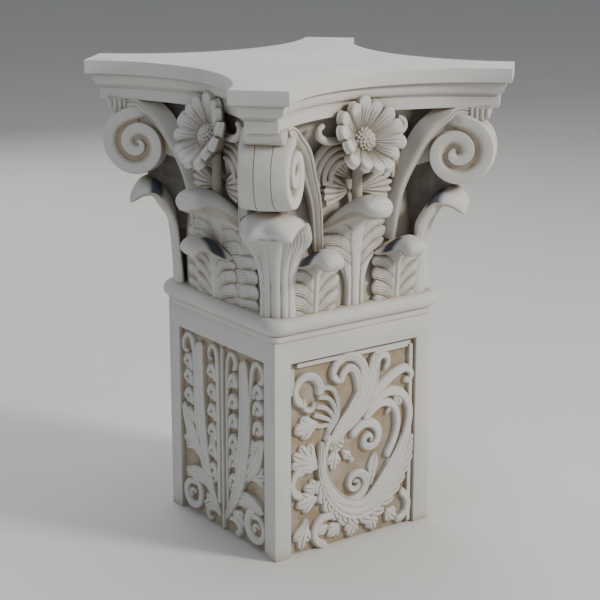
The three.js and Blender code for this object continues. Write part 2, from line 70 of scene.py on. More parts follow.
ABACUS_UNDERSIDE = TOTAL_HEIGHT - 62
SIDE_MIDDLE = 174.0
HORN_CORNER_SHORT = HORN_CORNER - 60

VOLUTE_REACH, VOLUTE_HEIGHT = 247.5, TOTAL_HEIGHT - 129
VOLUTE_RADIUS, VOLUTE_PITCH, VOLUTE_TURNS = 61.6, 29.65, 1.93
VOLUTE_BAND = 24.5
VOLUTE_NOSE_REACH, VOLUTE_NOSE_HALF, VOLUTE_SPLAY = 307.0, 34.0, 0.1
VOLUTE_RECESS = 6.0

FLOWER_REACH, FLOWER_HEIGHT = 160.0, TOTAL_HEIGHT - 101
FLOWER_RADIUS, FLOWER_CUP, PETALS = 60.0, 24.0, 14
BUTTON_RADIUS = 17.0

# Sides count from the front, turning towards +X, and the two hidden ones have plainer carving.
FRONT, RIGHT, BACK, LEFT = [k * math.pi / 2 for k in range(4)]
SIDES = (FRONT, RIGHT, BACK, LEFT)
CORNERS = [side + math.pi / 4 for side in SIDES]
SHARP_ANGLE = math.radians(38)

# ---------------------------------------------------------------- curves and closed surfaces


def stops(pairs, places):
    """Values at places, read off (place, value) stops and eased between them."""
    at, value = np.array(pairs, float).T
    places = np.clip(places, at[0], at[-1])
    after = np.clip(np.searchsorted(at, places), 1, len(at) - 1)
    share = (places - at[after - 1]) / (at[after] - at[after - 1])
    slope = np.gradient(value, at)
    gap = at[after] - at[after - 1]
    a, b = value[after - 1], value[after]
    m, n = slope[after - 1] * gap, slope[after] * gap
    return (
        (2 * share**3 - 3 * share**2 + 1) * a
        + (share**3 - 2 * share**2 + share) * m
        + (3 * share**2 - 2 * share**3) * b
        + (share**3 - share**2) * n
    )


def ramp(low, high, value):
    """0 below low, 1 above high, smooth between."""
    share = np.clip((value - low) / (high - low), 0, 1)
    return share * share * (3 - 2 * share)


def smooth_path(points, places):
    """A curve through the points, read at places from 0 to 1 along its length."""
    points = np.array(points, float)
    knots = np.vstack([points[:1], points, points[-1:]])
    u = np.linspace(0, 1, 24, endpoint=False)[:, None]
    pieces = []
    for p, q, r, s in zip(knots, knots[1:], knots[2:], knots[3:]):
        start, end = (r - p) / 2, (s - q) / 2
        cubic, square = 2 * q - 2 * r + start + end, -3 * q + 3 * r - 2 * start - end
        pieces.append(cubic * u**3 + square * u**2 + start * u + q)
    fine = np.vstack([*pieces, points[-1:]])
    length = np.concatenate([[0], np.cumsum(np.linalg.norm(np.diff(fine, axis=0), axis=1))])
    return np.stack([np.interp(places * length[-1], length, column) for column in fine.T], 1)


def directions(path):
    step = np.gradient(path, axis=0)
    return step / np.maximum(np.linalg.norm(step, axis=1, keepdims=True), 1e-9)


def local(across, outward, up):
    """Points of the front side, before it is turned."""
    return np.stack(np.broadcast_arrays(across, -np.asarray(outward), up), -1).astype(float)


def turn(points, angle):
    c, s = math.cos(angle), math.sin(angle)
    return points @ np.array([[c, s, 0], [-s, c, 0], [0, 0, 1]])


class Carving:
    """Closed surfaces gathered into one mesh, with a value of tan dust and painted shade and one of dark stain and
    painted shade for each vertex.
    """

    def __init__(self):
        self.points, self.faces, self.dust, self.stain_and_shade = [], [], [], []
        self.count = 0

    def add(self, points, faces, dust=0.0, stain_and_shade=0.0):
        self.faces.append([np.asarray(f) + self.count for f in faces])
        self.points.append(points)
        self.dust.append(np.broadcast_to(dust, len(points)))
        self.stain_and_shade.append(np.broadcast_to(stain_and_shade, len(points)))
        self.count += len(points)

    def loft(self, rings, dust=0.0, stain_and_shade=0.0):
        """A closed surface through rings of points, with a fan over each end."""
        rings = np.asarray(rings, float)
        rows, columns = rings.shape[:2]
        points = np.vstack([rings.reshape(-1, 3), rings[0].mean(0), rings[-1].mean(0)])
        row, column = np.meshgrid(np.arange(rows - 1), np.arange(columns), indexing="ij")
        start = (row * columns + column).ravel()
        beside = (row * columns + (column + 1) % columns).ravel()
        quads = np.stack([start, beside, beside + columns, start + columns], 1)
        k = np.arange(columns)
        after, top = (k + 1) % columns, (rows - 1) * columns
        first, last = rows * columns, rows * columns + 1
        low_fan = np.stack([np.full(columns, first), after, k], 1)
        high_fan = np.stack([np.full(columns, last), top + k, top + after], 1)
        fans = np.vstack([low_fan, high_fan])
        triangles = np.vstack([quads[:, [0, 1, 2]], quads[:, [0, 2, 3]], fans])
        a, b, c = (points[triangles[:, i]] - points.mean(0) for i in range(3))
        if np.einsum("ij,ij->", a, np.cross(b, c)) < 0:
            quads, fans = quads[:, ::-1], fans[:, ::-1]
        values = []
        for value in (dust, stain_and_shade):
            grid = np.broadcast_to(value, (rows, columns))
            values.append(np.concatenate([grid.ravel(), [grid[0].mean(), grid[-1].mean()]]))
        self.add(points, (quads, fans), *values)

    def take(self, other, angle=0.0, across=0.0):
        """Adds another carving, shifted across its side and turned to its place."""
        shift = np.array([across, 0, 0])
        for points, faces, dust, stain_and_shade in zip(other.points, other.faces, other.dust, other.stain_and_shade):
            start = min(f.min() for f in faces)
            self.add(turn(points + shift, angle), [f - start for f in faces], dust, stain_and_shade)

    def piece(self, name, node, slot, material):
        """Makes the Blender piece that stands for a CAD node."""
        mesh = bpy.data.meshes.new(name)
        faces = [face for pair in self.faces for group in pair for face in group.tolist()]
        mesh.from_pydata((np.vstack(self.points) * UNIT).tolist(), [], faces)
        for key, values in (("dust", self.dust), ("stain_and_shade", self.stain_and_shade)):
            layer = mesh.attributes.new(key, "FLOAT", "POINT")
            layer.data.foreach_set("value", np.concatenate(values).astype(np.float32))
        mesh.shade_smooth()
        mesh.set_sharp_from_angle(angle=SHARP_ANGLE)
        mesh.materials.append(material)
        made = bpy.data.objects.new(name, mesh)
        bpy.context.collection.objects.link(made)
        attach(made, "root")
        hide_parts(node)
        return made


def tube(carving, path, half, flat=1.0, sides=14, dust=0.0):
    """A round stem along a path of 3-D points, half as thick as the stops say."""
    along = directions(path)
    out = np.array([0.0, -1.0, 0.0])
    across = np.cross(along, out)
    across /= np.maximum(np.linalg.norm(across, axis=1, keepdims=True), 1e-6)
    front = np.cross(across, along)
    angle = np.linspace(0, 2 * math.pi, sides, endpoint=False)
    thick = stops(half, np.linspace(0, 1, len(path)))[:, None, None]
    ring = across[:, None] * np.cos(angle)[:, None] + front[:, None] * np.sin(angle)[:, None] * flat
    carving.loft(path[:, None] + ring * thick, dust)


def ball(carving, centre, radius, rows=6, columns=12, dust=0.0):
    polar = np.linspace(0.12, math.pi - 0.12, rows)[:, None]
    angle = np.linspace(0, 2 * math.pi, columns, endpoint=False)[None]
    unit = np.stack(
        [np.sin(polar) * np.cos(angle), np.cos(polar) + 0 * angle, np.sin(polar) * np.sin(angle)], -1
    )
    carving.loft(np.asarray(centre) + radius * unit, dust)


# ---------------------------------------------------------------- materials


class Nodes:
    """A short way to write a material's node tree."""

    def __init__(self, name):
        self.material = bpy.data.materials.new(name)
        self.material.use_nodes = True
        self.tree = self.material.node_tree
        self.shader = self.tree.nodes["Principled BSDF"]

    def make(self, kind, inputs=(), **settings):
        node = self.tree.nodes.new(kind)
        for key, value in settings.items():
            setattr(node, key, value)
        for key, value in dict(inputs).items():
            self.put(node.inputs[key], value)
        return node

    def put(self, socket, value):
        if isinstance(value, bpy.types.NodeSocket):
            self.tree.links.new(value, socket)
        else:
            socket.default_value = value

    def math(self, operation, a, b=0.0, clamp=False):
        node = self.make("ShaderNodeMath", operation=operation, use_clamp=clamp)
        self.put(node.inputs[0], a)
        self.put(node.inputs[1], b)
        return node.outputs[0]

    def mix(self, factor, a, b):
        node = self.make("ShaderNodeMix", data_type="RGBA", clamp_factor=True)
        self.put(node.inputs["Factor"], factor)
        self.put(node.inputs["A"], a)
        self.put(node.inputs["B"], b)
        return node.outputs["Result"]

    def noise(self, scale, detail=4.0, roughness=0.6):
        where = self.make("ShaderNodeTexCoord").outputs["Object"]
        return self.make(
            "ShaderNodeTexNoise",
            {"Vector": where, "Scale": scale, "Detail": detail, "Roughness": roughness},
        ).outputs["Fac"]

    def spread(self, value, low, high):
        """Stretches low..high to 0..1, smoothly."""
        node = self.make("ShaderNodeMapRange", interpolation_type="SMOOTHSTEP")
        self.put(node.inputs["Value"], value)
        self.put(node.inputs["From Min"], low)
        self.put(node.inputs["From Max"], high)
        return node.outputs["Result"]


CLEAN_STONE = (0.60, 0.585, 0.555, 1)
COOL_STONE = (0.55, 0.545, 0.53, 1)
TAN_DUST_AND_SHADE = (0.33, 0.25, 0.155, 1)
DARK_STAIN_AND_SHADE = (0.055, 0.062, 0.078, 1)
CAVITY_SIZE = 0.022
GRAIN = 0.00022


def stone_material(name):
    """Pale matt stone: cloudy tone, tan dust and painted shade where it is sheltered, dark stains and painted shade,
    and a fine grain.
    """
    n = Nodes(name)
    cloud = n.spread(n.noise(7, 5), 0.35, 0.65)
    tone = n.mix(cloud, CLEAN_STONE, COOL_STONE)
    # Ambient occlusion: hollows and creases are tinted tan, partly as dust and partly as painted shade.
    shelter = n.make("ShaderNodeAmbientOcclusion", {"Distance": CAVITY_SIZE}, samples=6).outputs["AO"]
    hollow = n.math("SUBTRACT", 1.0, n.spread(shelter, 0.28, 0.92))
    dust = n.make("ShaderNodeAttribute", attribute_name="dust").outputs["Fac"]
    patchy = n.math("MULTIPLY_ADD", n.spread(n.noise(38, 4), 0.3, 0.7), 0.35)
    patchy.node.inputs[2].default_value = 0.65
    dust_and_shade_amount = n.math("MAXIMUM", n.math("MULTIPLY", hollow, 0.8), dust)
    tone = n.mix(n.math("MULTIPLY", dust_and_shade_amount, patchy, clamp=True), tone, TAN_DUST_AND_SHADE)
    # The dark colour is painted shade on the webs and wedges behind the volutes, and dark patches on the backs of the
    # leaves' hoods.
    stain_and_shade = n.make("ShaderNodeAttribute", attribute_name="stain_and_shade").outputs["Fac"]
    stain_and_shade_patch = n.spread(n.math("ADD", stain_and_shade, n.math("MULTIPLY", n.noise(60, 3), 0.3)), 0.35, 0.95)
    tone = n.mix(stain_and_shade_patch, tone, DARK_STAIN_AND_SHADE)
    n.put(n.shader.inputs["Base Color"], tone)
    rough = n.math("MULTIPLY_ADD", n.noise(90, 3), 0.16)
    rough.node.inputs[2].default_value = 0.62
    n.put(n.shader.inputs["Roughness"], rough)
    n.shader.inputs["Specular IOR Level"].default_value = 0.35
    height = n.math("ADD", n.noise(900, 3), n.math("MULTIPLY", n.noise(160, 4), 0.8))
    bump = n.make("ShaderNodeBump", {"Height": height, "Distance": GRAIN, "Strength": 0.5})
    n.put(n.shader.inputs["Normal"], bump.outputs["Normal"])
    return n.material


pier_stone = stone_material("pier_stone")
capital_stone = stone_material("capital_stone")

# ---------------------------------------------------------------- pier and its panels

BAND_SECTION = np.array(
    [
        (-1.0, -0.45), (-1.0, 0.12), (-0.96, 0.46), (-0.84, 0.76), (-0.64, 0.95), (-0.40, 1.0),
        (-0.22, 0.93), (0.0, 0.86), (0.22, 0.90), (0.44, 0.86), (0.66, 0.72), (0.86, 0.48),
        (0.97, 0.25), (1.0, 0.05), (1.0, -0.45),
    ]
)
LEAF_SECTION = np.array(
    [
        (-1.0, -0.45), (-1.0, 0.1), (-0.93, 0.42), (-0.74, 0.74), (-0.52, 0.82), (-0.30, 0.88),
        (-0.12, 0.84), (0.0, 0.62), (0.12, 0.84), (0.30, 0.88), (0.52, 0.82), (0.74, 0.74),
        (0.93, 0.42), (1.0, 0.1), (1.0, -0.45),
    ]
)
REED_SECTION = np.array(
    [(-1.0, -0.45), (-1.0, 0.1)]
    + [(q, 0.72 + 0.22 * abs(math.cos(1.5 * math.pi * (q + 1)))) for q in np.linspace(-0.94, 0.94, 22)]
    + [(1.0, 0.1), (1.0, -0.45)]
)
BAND_STEP = 3.7
RELIEF = 9.0


def band(carving, path, half, height=RELIEF, section=BAND_SECTION, mirror=1):
    """A carved band on a panel, along a path of (across, up) points, with rounded ends."""
    path = np.array(path, float)
    length = np.linalg.norm(np.diff(path, axis=0), axis=1).sum()
    count = max(10, int(length / BAND_STEP))
    places = 0.5 - 0.5 * np.cos(np.linspace(0, math.pi, count))
    places = 0.5 * places + 0.5 * np.linspace(0, 1, count)
    line = smooth_path(path, places)
    along = directions(line)
    side = np.stack([-along[:, 1], along[:, 0]], 1) * mirror
    wide = stops(half, places)
    near_end = np.minimum(places, 1 - places) * length / np.maximum(wide, 1)
    rounding = np.sqrt(np.clip(1 - (1 - np.clip(near_end, 0, 1)) ** 2, 0.02, 1))
    q, rise = section.T
    flat = line[:, None] + side[:, None] * (wide * rounding)[:, None, None] * q[None, :, None]
    lift = np.where(rise > 0, rise * (0.45 + 0.55 * rounding[:, None]), rise)
    outward = GROUND + np.minimum(height * lift, PANEL_DEPTH - 0.4)
    up = np.clip(flat[..., 1], 0.6, PANEL_TOP - 0.6)
    across = np.clip(flat[..., 0], 0.6 - PANEL_HALF, PANEL_HALF - 0.6)
    # The band's low edges, where it meets the ground, are tinted tan as dust with painted shade; its top stays clean.
    dust = np.broadcast_to(np.clip(0.75 - 1.6 * rise, 0, 1), up.shape)
    carving.loft(local(across, outward, up), dust)


def scroll(x, z, first, last, start, degrees):
    """Points of a scroll about a centre whose radius shrinks from first to last over the turn."""
    places = np.linspace(0, 1, max(6, int(abs(degrees) / 14)))
    radius = first * (last / first) ** places
    angle = np.radians(start + degrees * places)
    return np.stack([x + radius * np.cos(angle), z + radius * np.sin(angle)], 1)


def frond(carving, root, aim, reach, spread, lobes, half, height=8.0):
    """Lobes that fan out from a root, the middle one longest, each with a groove down it."""
    root = np.array(root, float)
    for lobe in np.linspace(-1, 1, lobes):
        angle = math.radians(aim + lobe * spread)
        long = reach * (1 - 0.22 * lobe * lobe)
        tip = root + long * np.array([math.cos(angle), math.sin(angle)])
        bow = 0.16 * long * lobe * np.array([math.sin(angle), -math.cos(angle)])
        path = [root, root + (tip - root) * 0.5 + bow, tip]
        width = [(0, 0.35 * half), (0.62, half), (1, 0.72 * half)]
        band(carving, path, width, height * (1 - 0.1 * abs(lobe)), LEAF_SECTION)


def berry(carving, x, z, radius):
    centre = local(x, GROUND + 0.30 * radius, z)
    ball(carving, centre, min(radius, PANEL_DEPTH * 0.72), dust=0.05)


def fringe(carving, path, places, reaches, lean, half, mirror=1):
    """Lobes that grow from a stalk on one side of it and overlap, leaning on along it."""
    stalk = smooth_path(path, places)
    along = directions(smooth_path(path, places + 0.002) * 0.5 + stalk * 0.5)
    for root, ahead, share in zip(stalk, along, np.linspace(0, 1, len(places))):
        side = mirror * np.array([ahead[1], -ahead[0]])
        reach = float(stops(reaches, share))
        tip = root + reach * (side * math.cos(lean) + ahead * math.sin(lean))
        middle = root + 0.55 * reach * (side * math.cos(lean - 0.45) + ahead * math.sin(lean - 0.45))
        width = [(0, 0.5 * half), (0.6, half), (1, 0.75 * half)]
        band(carving, [root, middle, tip], width, 9.4, LEAF_SECTION)


CRESCENT = [(-60, 176), (-60, 140), (-52, 106), (-32, 74), (-2, 52), (32, 52), (62, 76), (84, 106),
            (99, 136), (106, 158)]


def foliage_panel(plain):
    """The scrolling foliage of the front and back, the back one without its small leaves."""
    made = Carving()
    even = [(0, 8), (1, 7.5)]
    band(made, scroll(31, 161, 35, 4, 165, -600), [(0, 8.5), (0.6, 8), (1, 4)])
    band(made, [(10, 108), (22, 104), (26, 88), (18, 74), (-2, 64), (-24, 72), (-44, 96),
                (-56, 128), (-52, 162), (-42, 184)][::-1], [(0, 6), (0.5, 8), (1, 7.5)])
    band(made, scroll(5, 92, 23, 3.5, 330, 560), [(0, 8), (0.5, 6.5), (1, 3.4)])
    band(made, [(-44, 168), (-24, 190), (2, 212), (24, 240), (36, 268), (42, 300)],
         [(0, 8), (0.35, 17), (0.6, 19), (0.85, 12), (1, 8)], section=REED_SECTION)
    band(made, [(16, 238), (20, 262), (18, 284), (2, 300), (-18, 302), (-34, 292), (-38, 278),
                (-28, 268), (-20, 276)], [(0, 11), (0.3, 9.5), (0.8, 7.5), (1, 5)])
    band(made, [(8, 226), (10, 252), (4, 276), (-8, 284), (-20, 276), (-22, 262)],
         [(0, 6), (0.5, 7.5), (1, 7.5)])
    band(made, [(28, 246), (38, 274), (52, 294), (66, 290), (66, 276), (58, 270)],
         [(0, 10), (0.5, 8), (1, 5.5)])
    band(made, [(40, 300), (60, 303), (84, 303), (108, 303)], [(0, 7.5), (1, 5)], 8)
    band(made, [(30, 226), (58, 246), (84, 260), (104, 264), (115, 254), (110, 243), (99, 247)],
         [(0, 11), (0.45, 8.5), (1, 6)])
    band(made, [(24, 206), (50, 226), (76, 231), (100, 220), (113, 194), (108, 160), (92, 128),
                (68, 104)], [(0, 9), (0.5, 8.5), (1, 10)])
    band(made, [(20, 194), (44, 212), (64, 215), (82, 204), (89, 178), (82, 150), (66, 122)],
             [(0, 8), (0.5, 7.5), (1, 8)])
    band(made, [(66, 216), (74, 206), (66, 194)], [(0, 6), (1, 4)], 7.5, LEAF_SECTION)
    fringe(made, CRESCENT, np.linspace(0.2, 0.95, 15), [(0, 26), (0.3, 34), (0.6, 38), (1, 30)],
           0.75, 9.5)
    band(made, CRESCENT, [(0, 6), (0.2, 10), (0.5, 17), (0.75, 20), (1, 10)], 9.4, REED_SECTION)
    band(made, scroll(-88, 262, 25, 20, 330, 300), even)
    band(made, scroll(-82, 240, 14, 6, 130, 260), [(0, 5.5), (1, 4)])
    band(made, scroll(-95, 114, 24, 19, 40, 230), even)
    band(made, scroll(-50, 25, 25, 21, 60, 215), even)
    band(made, scroll(88, 32, 27, 22, 75, -170), even)
    if plain:
        return made
    for reach, lift in ((0, 262), (1, 248), (2, 234), (3, 221), (4, 208)):
        band(made, [(-50 - reach, 186 - 3 * reach), (-30 - 4 * reach, 214 - 4 * reach),
                    (-38 - 6 * reach, lift - 8), (-64 - 4 * reach, lift)],
             [(0, 3.2), (0.5, 4.2), (1, 4.6)], 8.6 - 0.5 * reach)
    frond(made, (-66, 206), 186, 46, 30, 3, 12.0)
    frond(made, (-62, 134), 150, 60, 36, 5, 10.5)
    frond(made, (-66, 84), 186, 42, 30, 3, 10.0)
    frond(made, (-88, 56), 256, 52, 24, 3, 10.5)
    frond(made, (-60, 100), 170, 34, 30, 3, 8.0)
    frond(made, (-34, 162), 262, 40, 26, 3, 8.5, 8.5)
    frond(made, (-22, 152), 320, 26, 20, 3, 6.0, 8.0)
    frond(made, (45, 136), 258, 56, 9, 3, 8.0, 8.0)
    frond(made, (-46, 34), 200, 26, 24, 3, 8.0, 8.5)
    frond(made, (82, 226), 300, 26, 30, 3, 7.0, 8.5)
    for x, aim in ((-24, 215), (4, 250), (36, 285), (66, 320)):
        frond(made, (x, 32), aim, 30, 34, 3, 9.0, 8.5)
    for ring, seeds in ((0, 1), (7.5, 6), (12.5, 10)):
        for k in range(seeds):
            angle = 2 * math.pi * k / seeds + ring
            berry(made, -31 + ring * math.cos(angle), 167 + ring * math.sin(angle), 4.6)
    berry(made, -2, 133, 5.5)
    return made


def tree_panel(plain):
    """The upright fronds of the left and right sides, alike on both sides of a middle rod."""
    made = Carving()
    band(made, [(0, 2), (0, 150), (0, 306)], [(0, 4.5), (1, 4.5)], 8.5)
    for side in (-1, 1):
        def mirrored(points):
            return [(side * x, z) for x, z in points]

        band(made, mirrored([(6, 22), (26, 52), (48, 96), (60, 150), (66, 220), (62, 300)]),
             [(0, 5), (0.3, 14), (0.7, 16), (1, 11)], 9.4, REED_SECTION, side)
        band(made, mirrored([(12, 40), (12, 130), (13, 230), (15, 286), (26, 302), (38, 292),
                             (36, 280), (29, 280)]), [(0, 4.2), (0.8, 4.6), (1, 4)], 8.2, mirror=side)
        band(made, mirrored([(36, 84), (30, 76), (20, 80), (16, 96)]), [(0, 4), (1, 4)], 8)
        band(made, mirrored([(70, 190), (78, 250), (84, 292), (98, 304), (112, 292), (110, 276),
                             (99, 276)]), [(0, 5), (0.6, 5.5), (1, 4.5)], 8.6, mirror=side)
        band(made, mirrored([(52, 100), (74, 120), (96, 150), (114, 186)]),
             [(0, 5), (0.5, 15), (1, 7)], 9.0, REED_SECTION, side)
        band(made, mirrored([(20, 46), (46, 70), (80, 74), (112, 66)]),
             [(0, 5), (0.5, 13), (1, 7)], 8.8, REED_SECTION, side)
        band(made, scroll(side * 92, 36, 27, 17, 95, side * 400), [(0, 8.5), (1, 6)], mirror=side)
        band(made, scroll(side * 92, 34, 9, 4, 0, 280), [(0, 4.5), (1, 3.5)], 8.5)
        if plain:
            continue
        for k, z in enumerate(np.arange(92, 276, 33)):
            band(made, mirrored([(19, z - 14), (22, z + 4), (32, z + 10), (40, z), (34, z - 8)]),
                 [(0, 4.5), (0.5, 6.4), (1, 5.4)], 9.0, mirror=side)
            berry(made, side * 30, z - 6 + 2 * (k % 2), 7.0)
        for z in (168, 200, 232, 258):
            band(made, mirrored([(88, z - 14), (90, z + 3), (100, z + 9), (109, z), (103, z - 8)]),
                 [(0, 4.5), (0.5, 6.4), (1, 5.4)], 9.0, mirror=side)
            berry(made, side * 99, z - 6, 7.0)
        frond(made, (side * 78, 112), 90 - side * 60, 44, 34, 4, 8.0, 8.6)
        frond(made, (side * 20, 46), 90 - side * 118, 44, 26, 3, 9.0, 8.6)
        frond(made, (side * 70, 150), 90 - side * 44, 40, 22, 3, 7.5, 8.6)
        frond(made, (side * 44, 120), 90 + side * 30, 40, 16, 3, 6.5, 8.4)
        band(made, mirrored([(14, 26), (30, 30), (46, 22), (44, 8), (32, 10)]),
             [(0, 5), (0.5, 6.5), (1, 5)], 8.4, mirror=side)
    return made


def flat_box(bm, low, high):
    corners = [(x, y, z) for x in (low[0], high[0]) for y in (low[1], high[1]) for z in (low[2], high[2])]
    v = [bm.verts.new(c) for c in corners]
    for loop in ((0, 1, 3, 2), (4, 6, 7, 5), (0, 4, 5, 1), (2, 3, 7, 6), (0, 2, 6, 4), (1, 5, 7, 3)):
        bm.faces.new([v[i] for i in loop])


def pier_block():
    """The pier's plain block with its four sunk panels, its arrises slightly worn."""
    block = bmesh.new()
    flat_box(block, (-PIER_HALF, -PIER_HALF, 0), (PIER_HALF, PIER_HALF, PIER_TOP))
    sunk = bmesh.new()
    over = PIER_HALF + 5
    for axis in (0, 1):
        for sign in (-1, 1):
            low, high = [-PANEL_HALF, -PANEL_HALF, -5], [PANEL_HALF, PANEL_HALF, PANEL_TOP]
            low[axis], high[axis] = sorted((sign * GROUND, sign * over))
            flat_box(sunk, low, high)
    objects = []
    for name, bm in (("pier_block", block), ("pier_sunk", sunk)):
        bmesh.ops.recalc_face_normals(bm, faces=bm.faces)
        mesh = bpy.data.meshes.new(name)
        bm.to_mesh(mesh)
        bm.free()
        objects.append(bpy.data.objects.new(name, mesh))
        bpy.context.collection.objects.link(objects[-1])
    body, cutter = objects
    cut = body.modifiers.new("cut", "BOOLEAN")
    cut.object, cut.operation, cut.solver = cutter, "DIFFERENCE", "EXACT"
    ease = body.modifiers.new("ease", "BEVEL")
    ease.width, ease.segments, ease.limit_method = 0.9, 2, "ANGLE"
    made = bpy.data.meshes.new_from_object(body.evaluated_get(bpy.context.evaluated_depsgraph_get()))
    for thing in objects:
        bpy.data.objects.remove(thing)
    carving = Carving()
    points = np.array([v.co for v in made.vertices])
    depth = PIER_HALF - np.abs(points[:, :2]).max(1)
    dust = np.where((depth > PANEL_DEPTH - 1) & (points[:, 2] < PANEL_TOP + 1), 1.0, 0.0)
    faces = [np.array([list(p.vertices)]) for p in made.polygons]
    carving.add(points, faces, dust)
    bpy.data.meshes.remove(made)
    return carving


def strips():
    """The thin inner strip of the front and back panels, along the top and down the sides."""
    made = Carving()
    inner = PANEL_HALF - 8
    for path in ([(-inner + 4, PANEL_TOP - 6.5), (0, PANEL_TOP - 6.5), (inner, PANEL_TOP - 6.5)],
                 [(inner, 2), (inner, 150), (inner, PANEL_TOP - 8)],
                 [(-inner - 3, 258), (-inner - 3, 280), (-inner - 3, PANEL_TOP - 8)]):
        band(made, path, [(0, 3.4), (1, 3.4)], 7.0, STRIP_SECTION)
    return made


STRIP_SECTION = np.array([(-1, -0.45), (-1, 0.9), (-0.86, 1.0), (0.86, 1.0), (1, 0.9), (1, -0.45)])


def make_pier():
    made = pier_block()
    for side in (FRONT, BACK):
        made.take(foliage_panel(side == BACK), side)
        made.take(strips(), side)
    for side in (RIGHT, LEFT):
        made.take(tree_panel(side == RIGHT), side)
    return made.piece("pier_shaft_carved", "pier_shaft", "pier_stone", pier_stone)


# ---------------------------------------------------------------- astragal, bell and abacus


def rounded_square(half, corner, height, steps=10):
    """One ring of a square with round corners."""
    ring = []
    for quarter in SIDES:
        angle = quarter + np.linspace(0, math.pi / 2, steps + 1)
        middle = half - corner
        sx = np.sign(math.cos(quarter + math.pi / 4))
        sy = np.sign(math.sin(quarter + math.pi / 4))
        x, y = sx * middle + corner * np.cos(angle), sy * middle + corner * np.sin(angle)
        ring.append(np.stack([x, y, np.full_like(x, height)], 1))
    return np.vstack(ring)


def astragal():
    made = Carving()
    profile = [(FILLET_HALF - 2, FILLET_CORNER, CAPITAL_BASE), (FILLET_HALF - 0.6, FILLET_CORNER, CAPITAL_BASE + 0.6),
               (FILLET_HALF, FILLET_CORNER, CAPITAL_BASE + 2), (FILLET_HALF, FILLET_CORNER, FILLET_TOP - 2),
               (FILLET_HALF - 0.8, FILLET_CORNER, FILLET_TOP - 0.8)]
    for angle in np.radians(np.linspace(-85, 90, 16)):
        out = TORUS_RADIUS * (math.cos(angle) - 1)
        height = TORUS_HEIGHT + TORUS_RADIUS * math.sin(angle)
        profile.append((TORUS_HALF + out, TORUS_CORNER + out, height))
    made.loft([rounded_square(*row) for row in profile])
    return made


def bell():
    made = Carving()
    profile = [(139, FILLET_TOP), (139, 470), (134, 530), (128, 590), (131, 640),
               (138, ABACUS_UNDERSIDE - 14), (138, ABACUS_UNDERSIDE + 5)]
    rows = [rounded_square(half, 40, height) for half, height in profile]
    # The whole bell is tinted tan behind the leaves: dust with painted shade.
    made.loft(rows, dust=0.55)
    return made


def abacus_ring(inset, height, steps=40):
    """The abacus in plan: four hollow sides between four cut-off horns, drawn in by inset."""
    sagitta = HORN_CORNER - SIDE_MIDDLE
    radius = (HORN_CORNER_SHORT**2 + sagitta**2) / (2 * sagitta)
    centre = SIDE_MIDDLE + radius
    hollow = radius + inset
    offset = centre - (HORN_CORNER + HORN_CORNER_SHORT - math.sqrt(2) * inset)
    end = (math.sqrt(2 * hollow**2 - offset**2) - offset) / 2
    sweep = np.linspace(-1, 1, steps + 1) * math.asin(end / hollow)
    side = local(hollow * np.sin(sweep), centre - hollow * np.cos(sweep), height)
    return np.vstack([turn(side, angle) for angle in SIDES])


def abacus():
    made = Carving()
    top = TOTAL_HEIGHT
    bulge = np.linspace(0, 1, 9)
    ovolo = [(9 + 9 * (1 - math.sqrt(1 - t * t)), top - 24 - 17 * t) for t in bulge]
    profile = [
        (20.2, top - 62), (19, top - 61), (18.8, top - 44.8), (19.6, top - 44), (19.6, top - 41.4),
        *ovolo[::-1],
        (9.2, top - 22.4), (8.2, top - 21.9), (1.2, top - 21.6), (0, top - 20.6),
        (0, top - 1.1), (0.35, top - 0.35), (1.1, top),
    ]
    made.loft([abacus_ring(inset, height) for inset, height in profile])
    return made


# ---------------------------------------------------------------- volutes


def volute_half(reach):
    return VOLUTE_NOSE_HALF + VOLUTE_SPLAY * (VOLUTE_NOSE_REACH - reach)


# From the middle of the rim round to the groove: (share of the half width, depth, sunk in).
RIM = [
    (0.0, 0.0, 0), (0.24, 0.1, 0), (0.33, 0.3, 0), (0.355, 1.9, 0), (0.38, 0.4, 0),
    (0.60, 1.2, 0), (0.85, 2.6, 0), (0.96, 3.4, 0), (1.0, 4.3, 0.0), (1.0, 8.0, 0.0),
    (1.0, 17.5, 0.0), (1.0, 18.6, 0.5), (1.0, 23.0, 3.6), (1.0, 24.3, 4.8), (1.0, 24.5, 9.0),
]


NOSE_SWELL = 4.3
COIL_START = -0.13


def volute_radius(turns):
    return VOLUTE_RADIUS + NOSE_SWELL * ramp(0.02, 0.22, turns) - VOLUTE_PITCH * np.maximum(turns, 0)


def coil(made):
    """The scroll, whose rim has three bands and whose faces have a sunk spiral groove."""
    turns = np.linspace(COIL_START, VOLUTE_TURNS, 310)
    slim = 0.5 + 0.5 * ramp(COIL_START, 0.03, turns)
    outer = volute_radius(turns)
    narrow = np.minimum(1.0, 0.93 * outer / VOLUTE_BAND)
    angle = math.pi / 2 - 2 * math.pi * turns
    section = [(-share, depth, sunk) for share, depth, sunk in RIM[:0:-1]] + RIM
    rings, dusts = [], []
    for share, depth, sunk in section:
        radius = outer - depth * narrow
        reach = VOLUTE_REACH + radius * np.cos(angle)
        half = abs(share) * volute_half(reach) * slim - sunk
        rings.append(local(np.sign(share) * half, reach, VOLUTE_HEIGHT + radius * np.sin(angle)))
        # The sunk spiral groove is tinted tan: dust with painted shade.
        dusts.append(np.full(len(turns), 0.75 if sunk > 3 else 0.0))
    made.loft(np.stack(rings, 1), np.stack(dusts, 1))


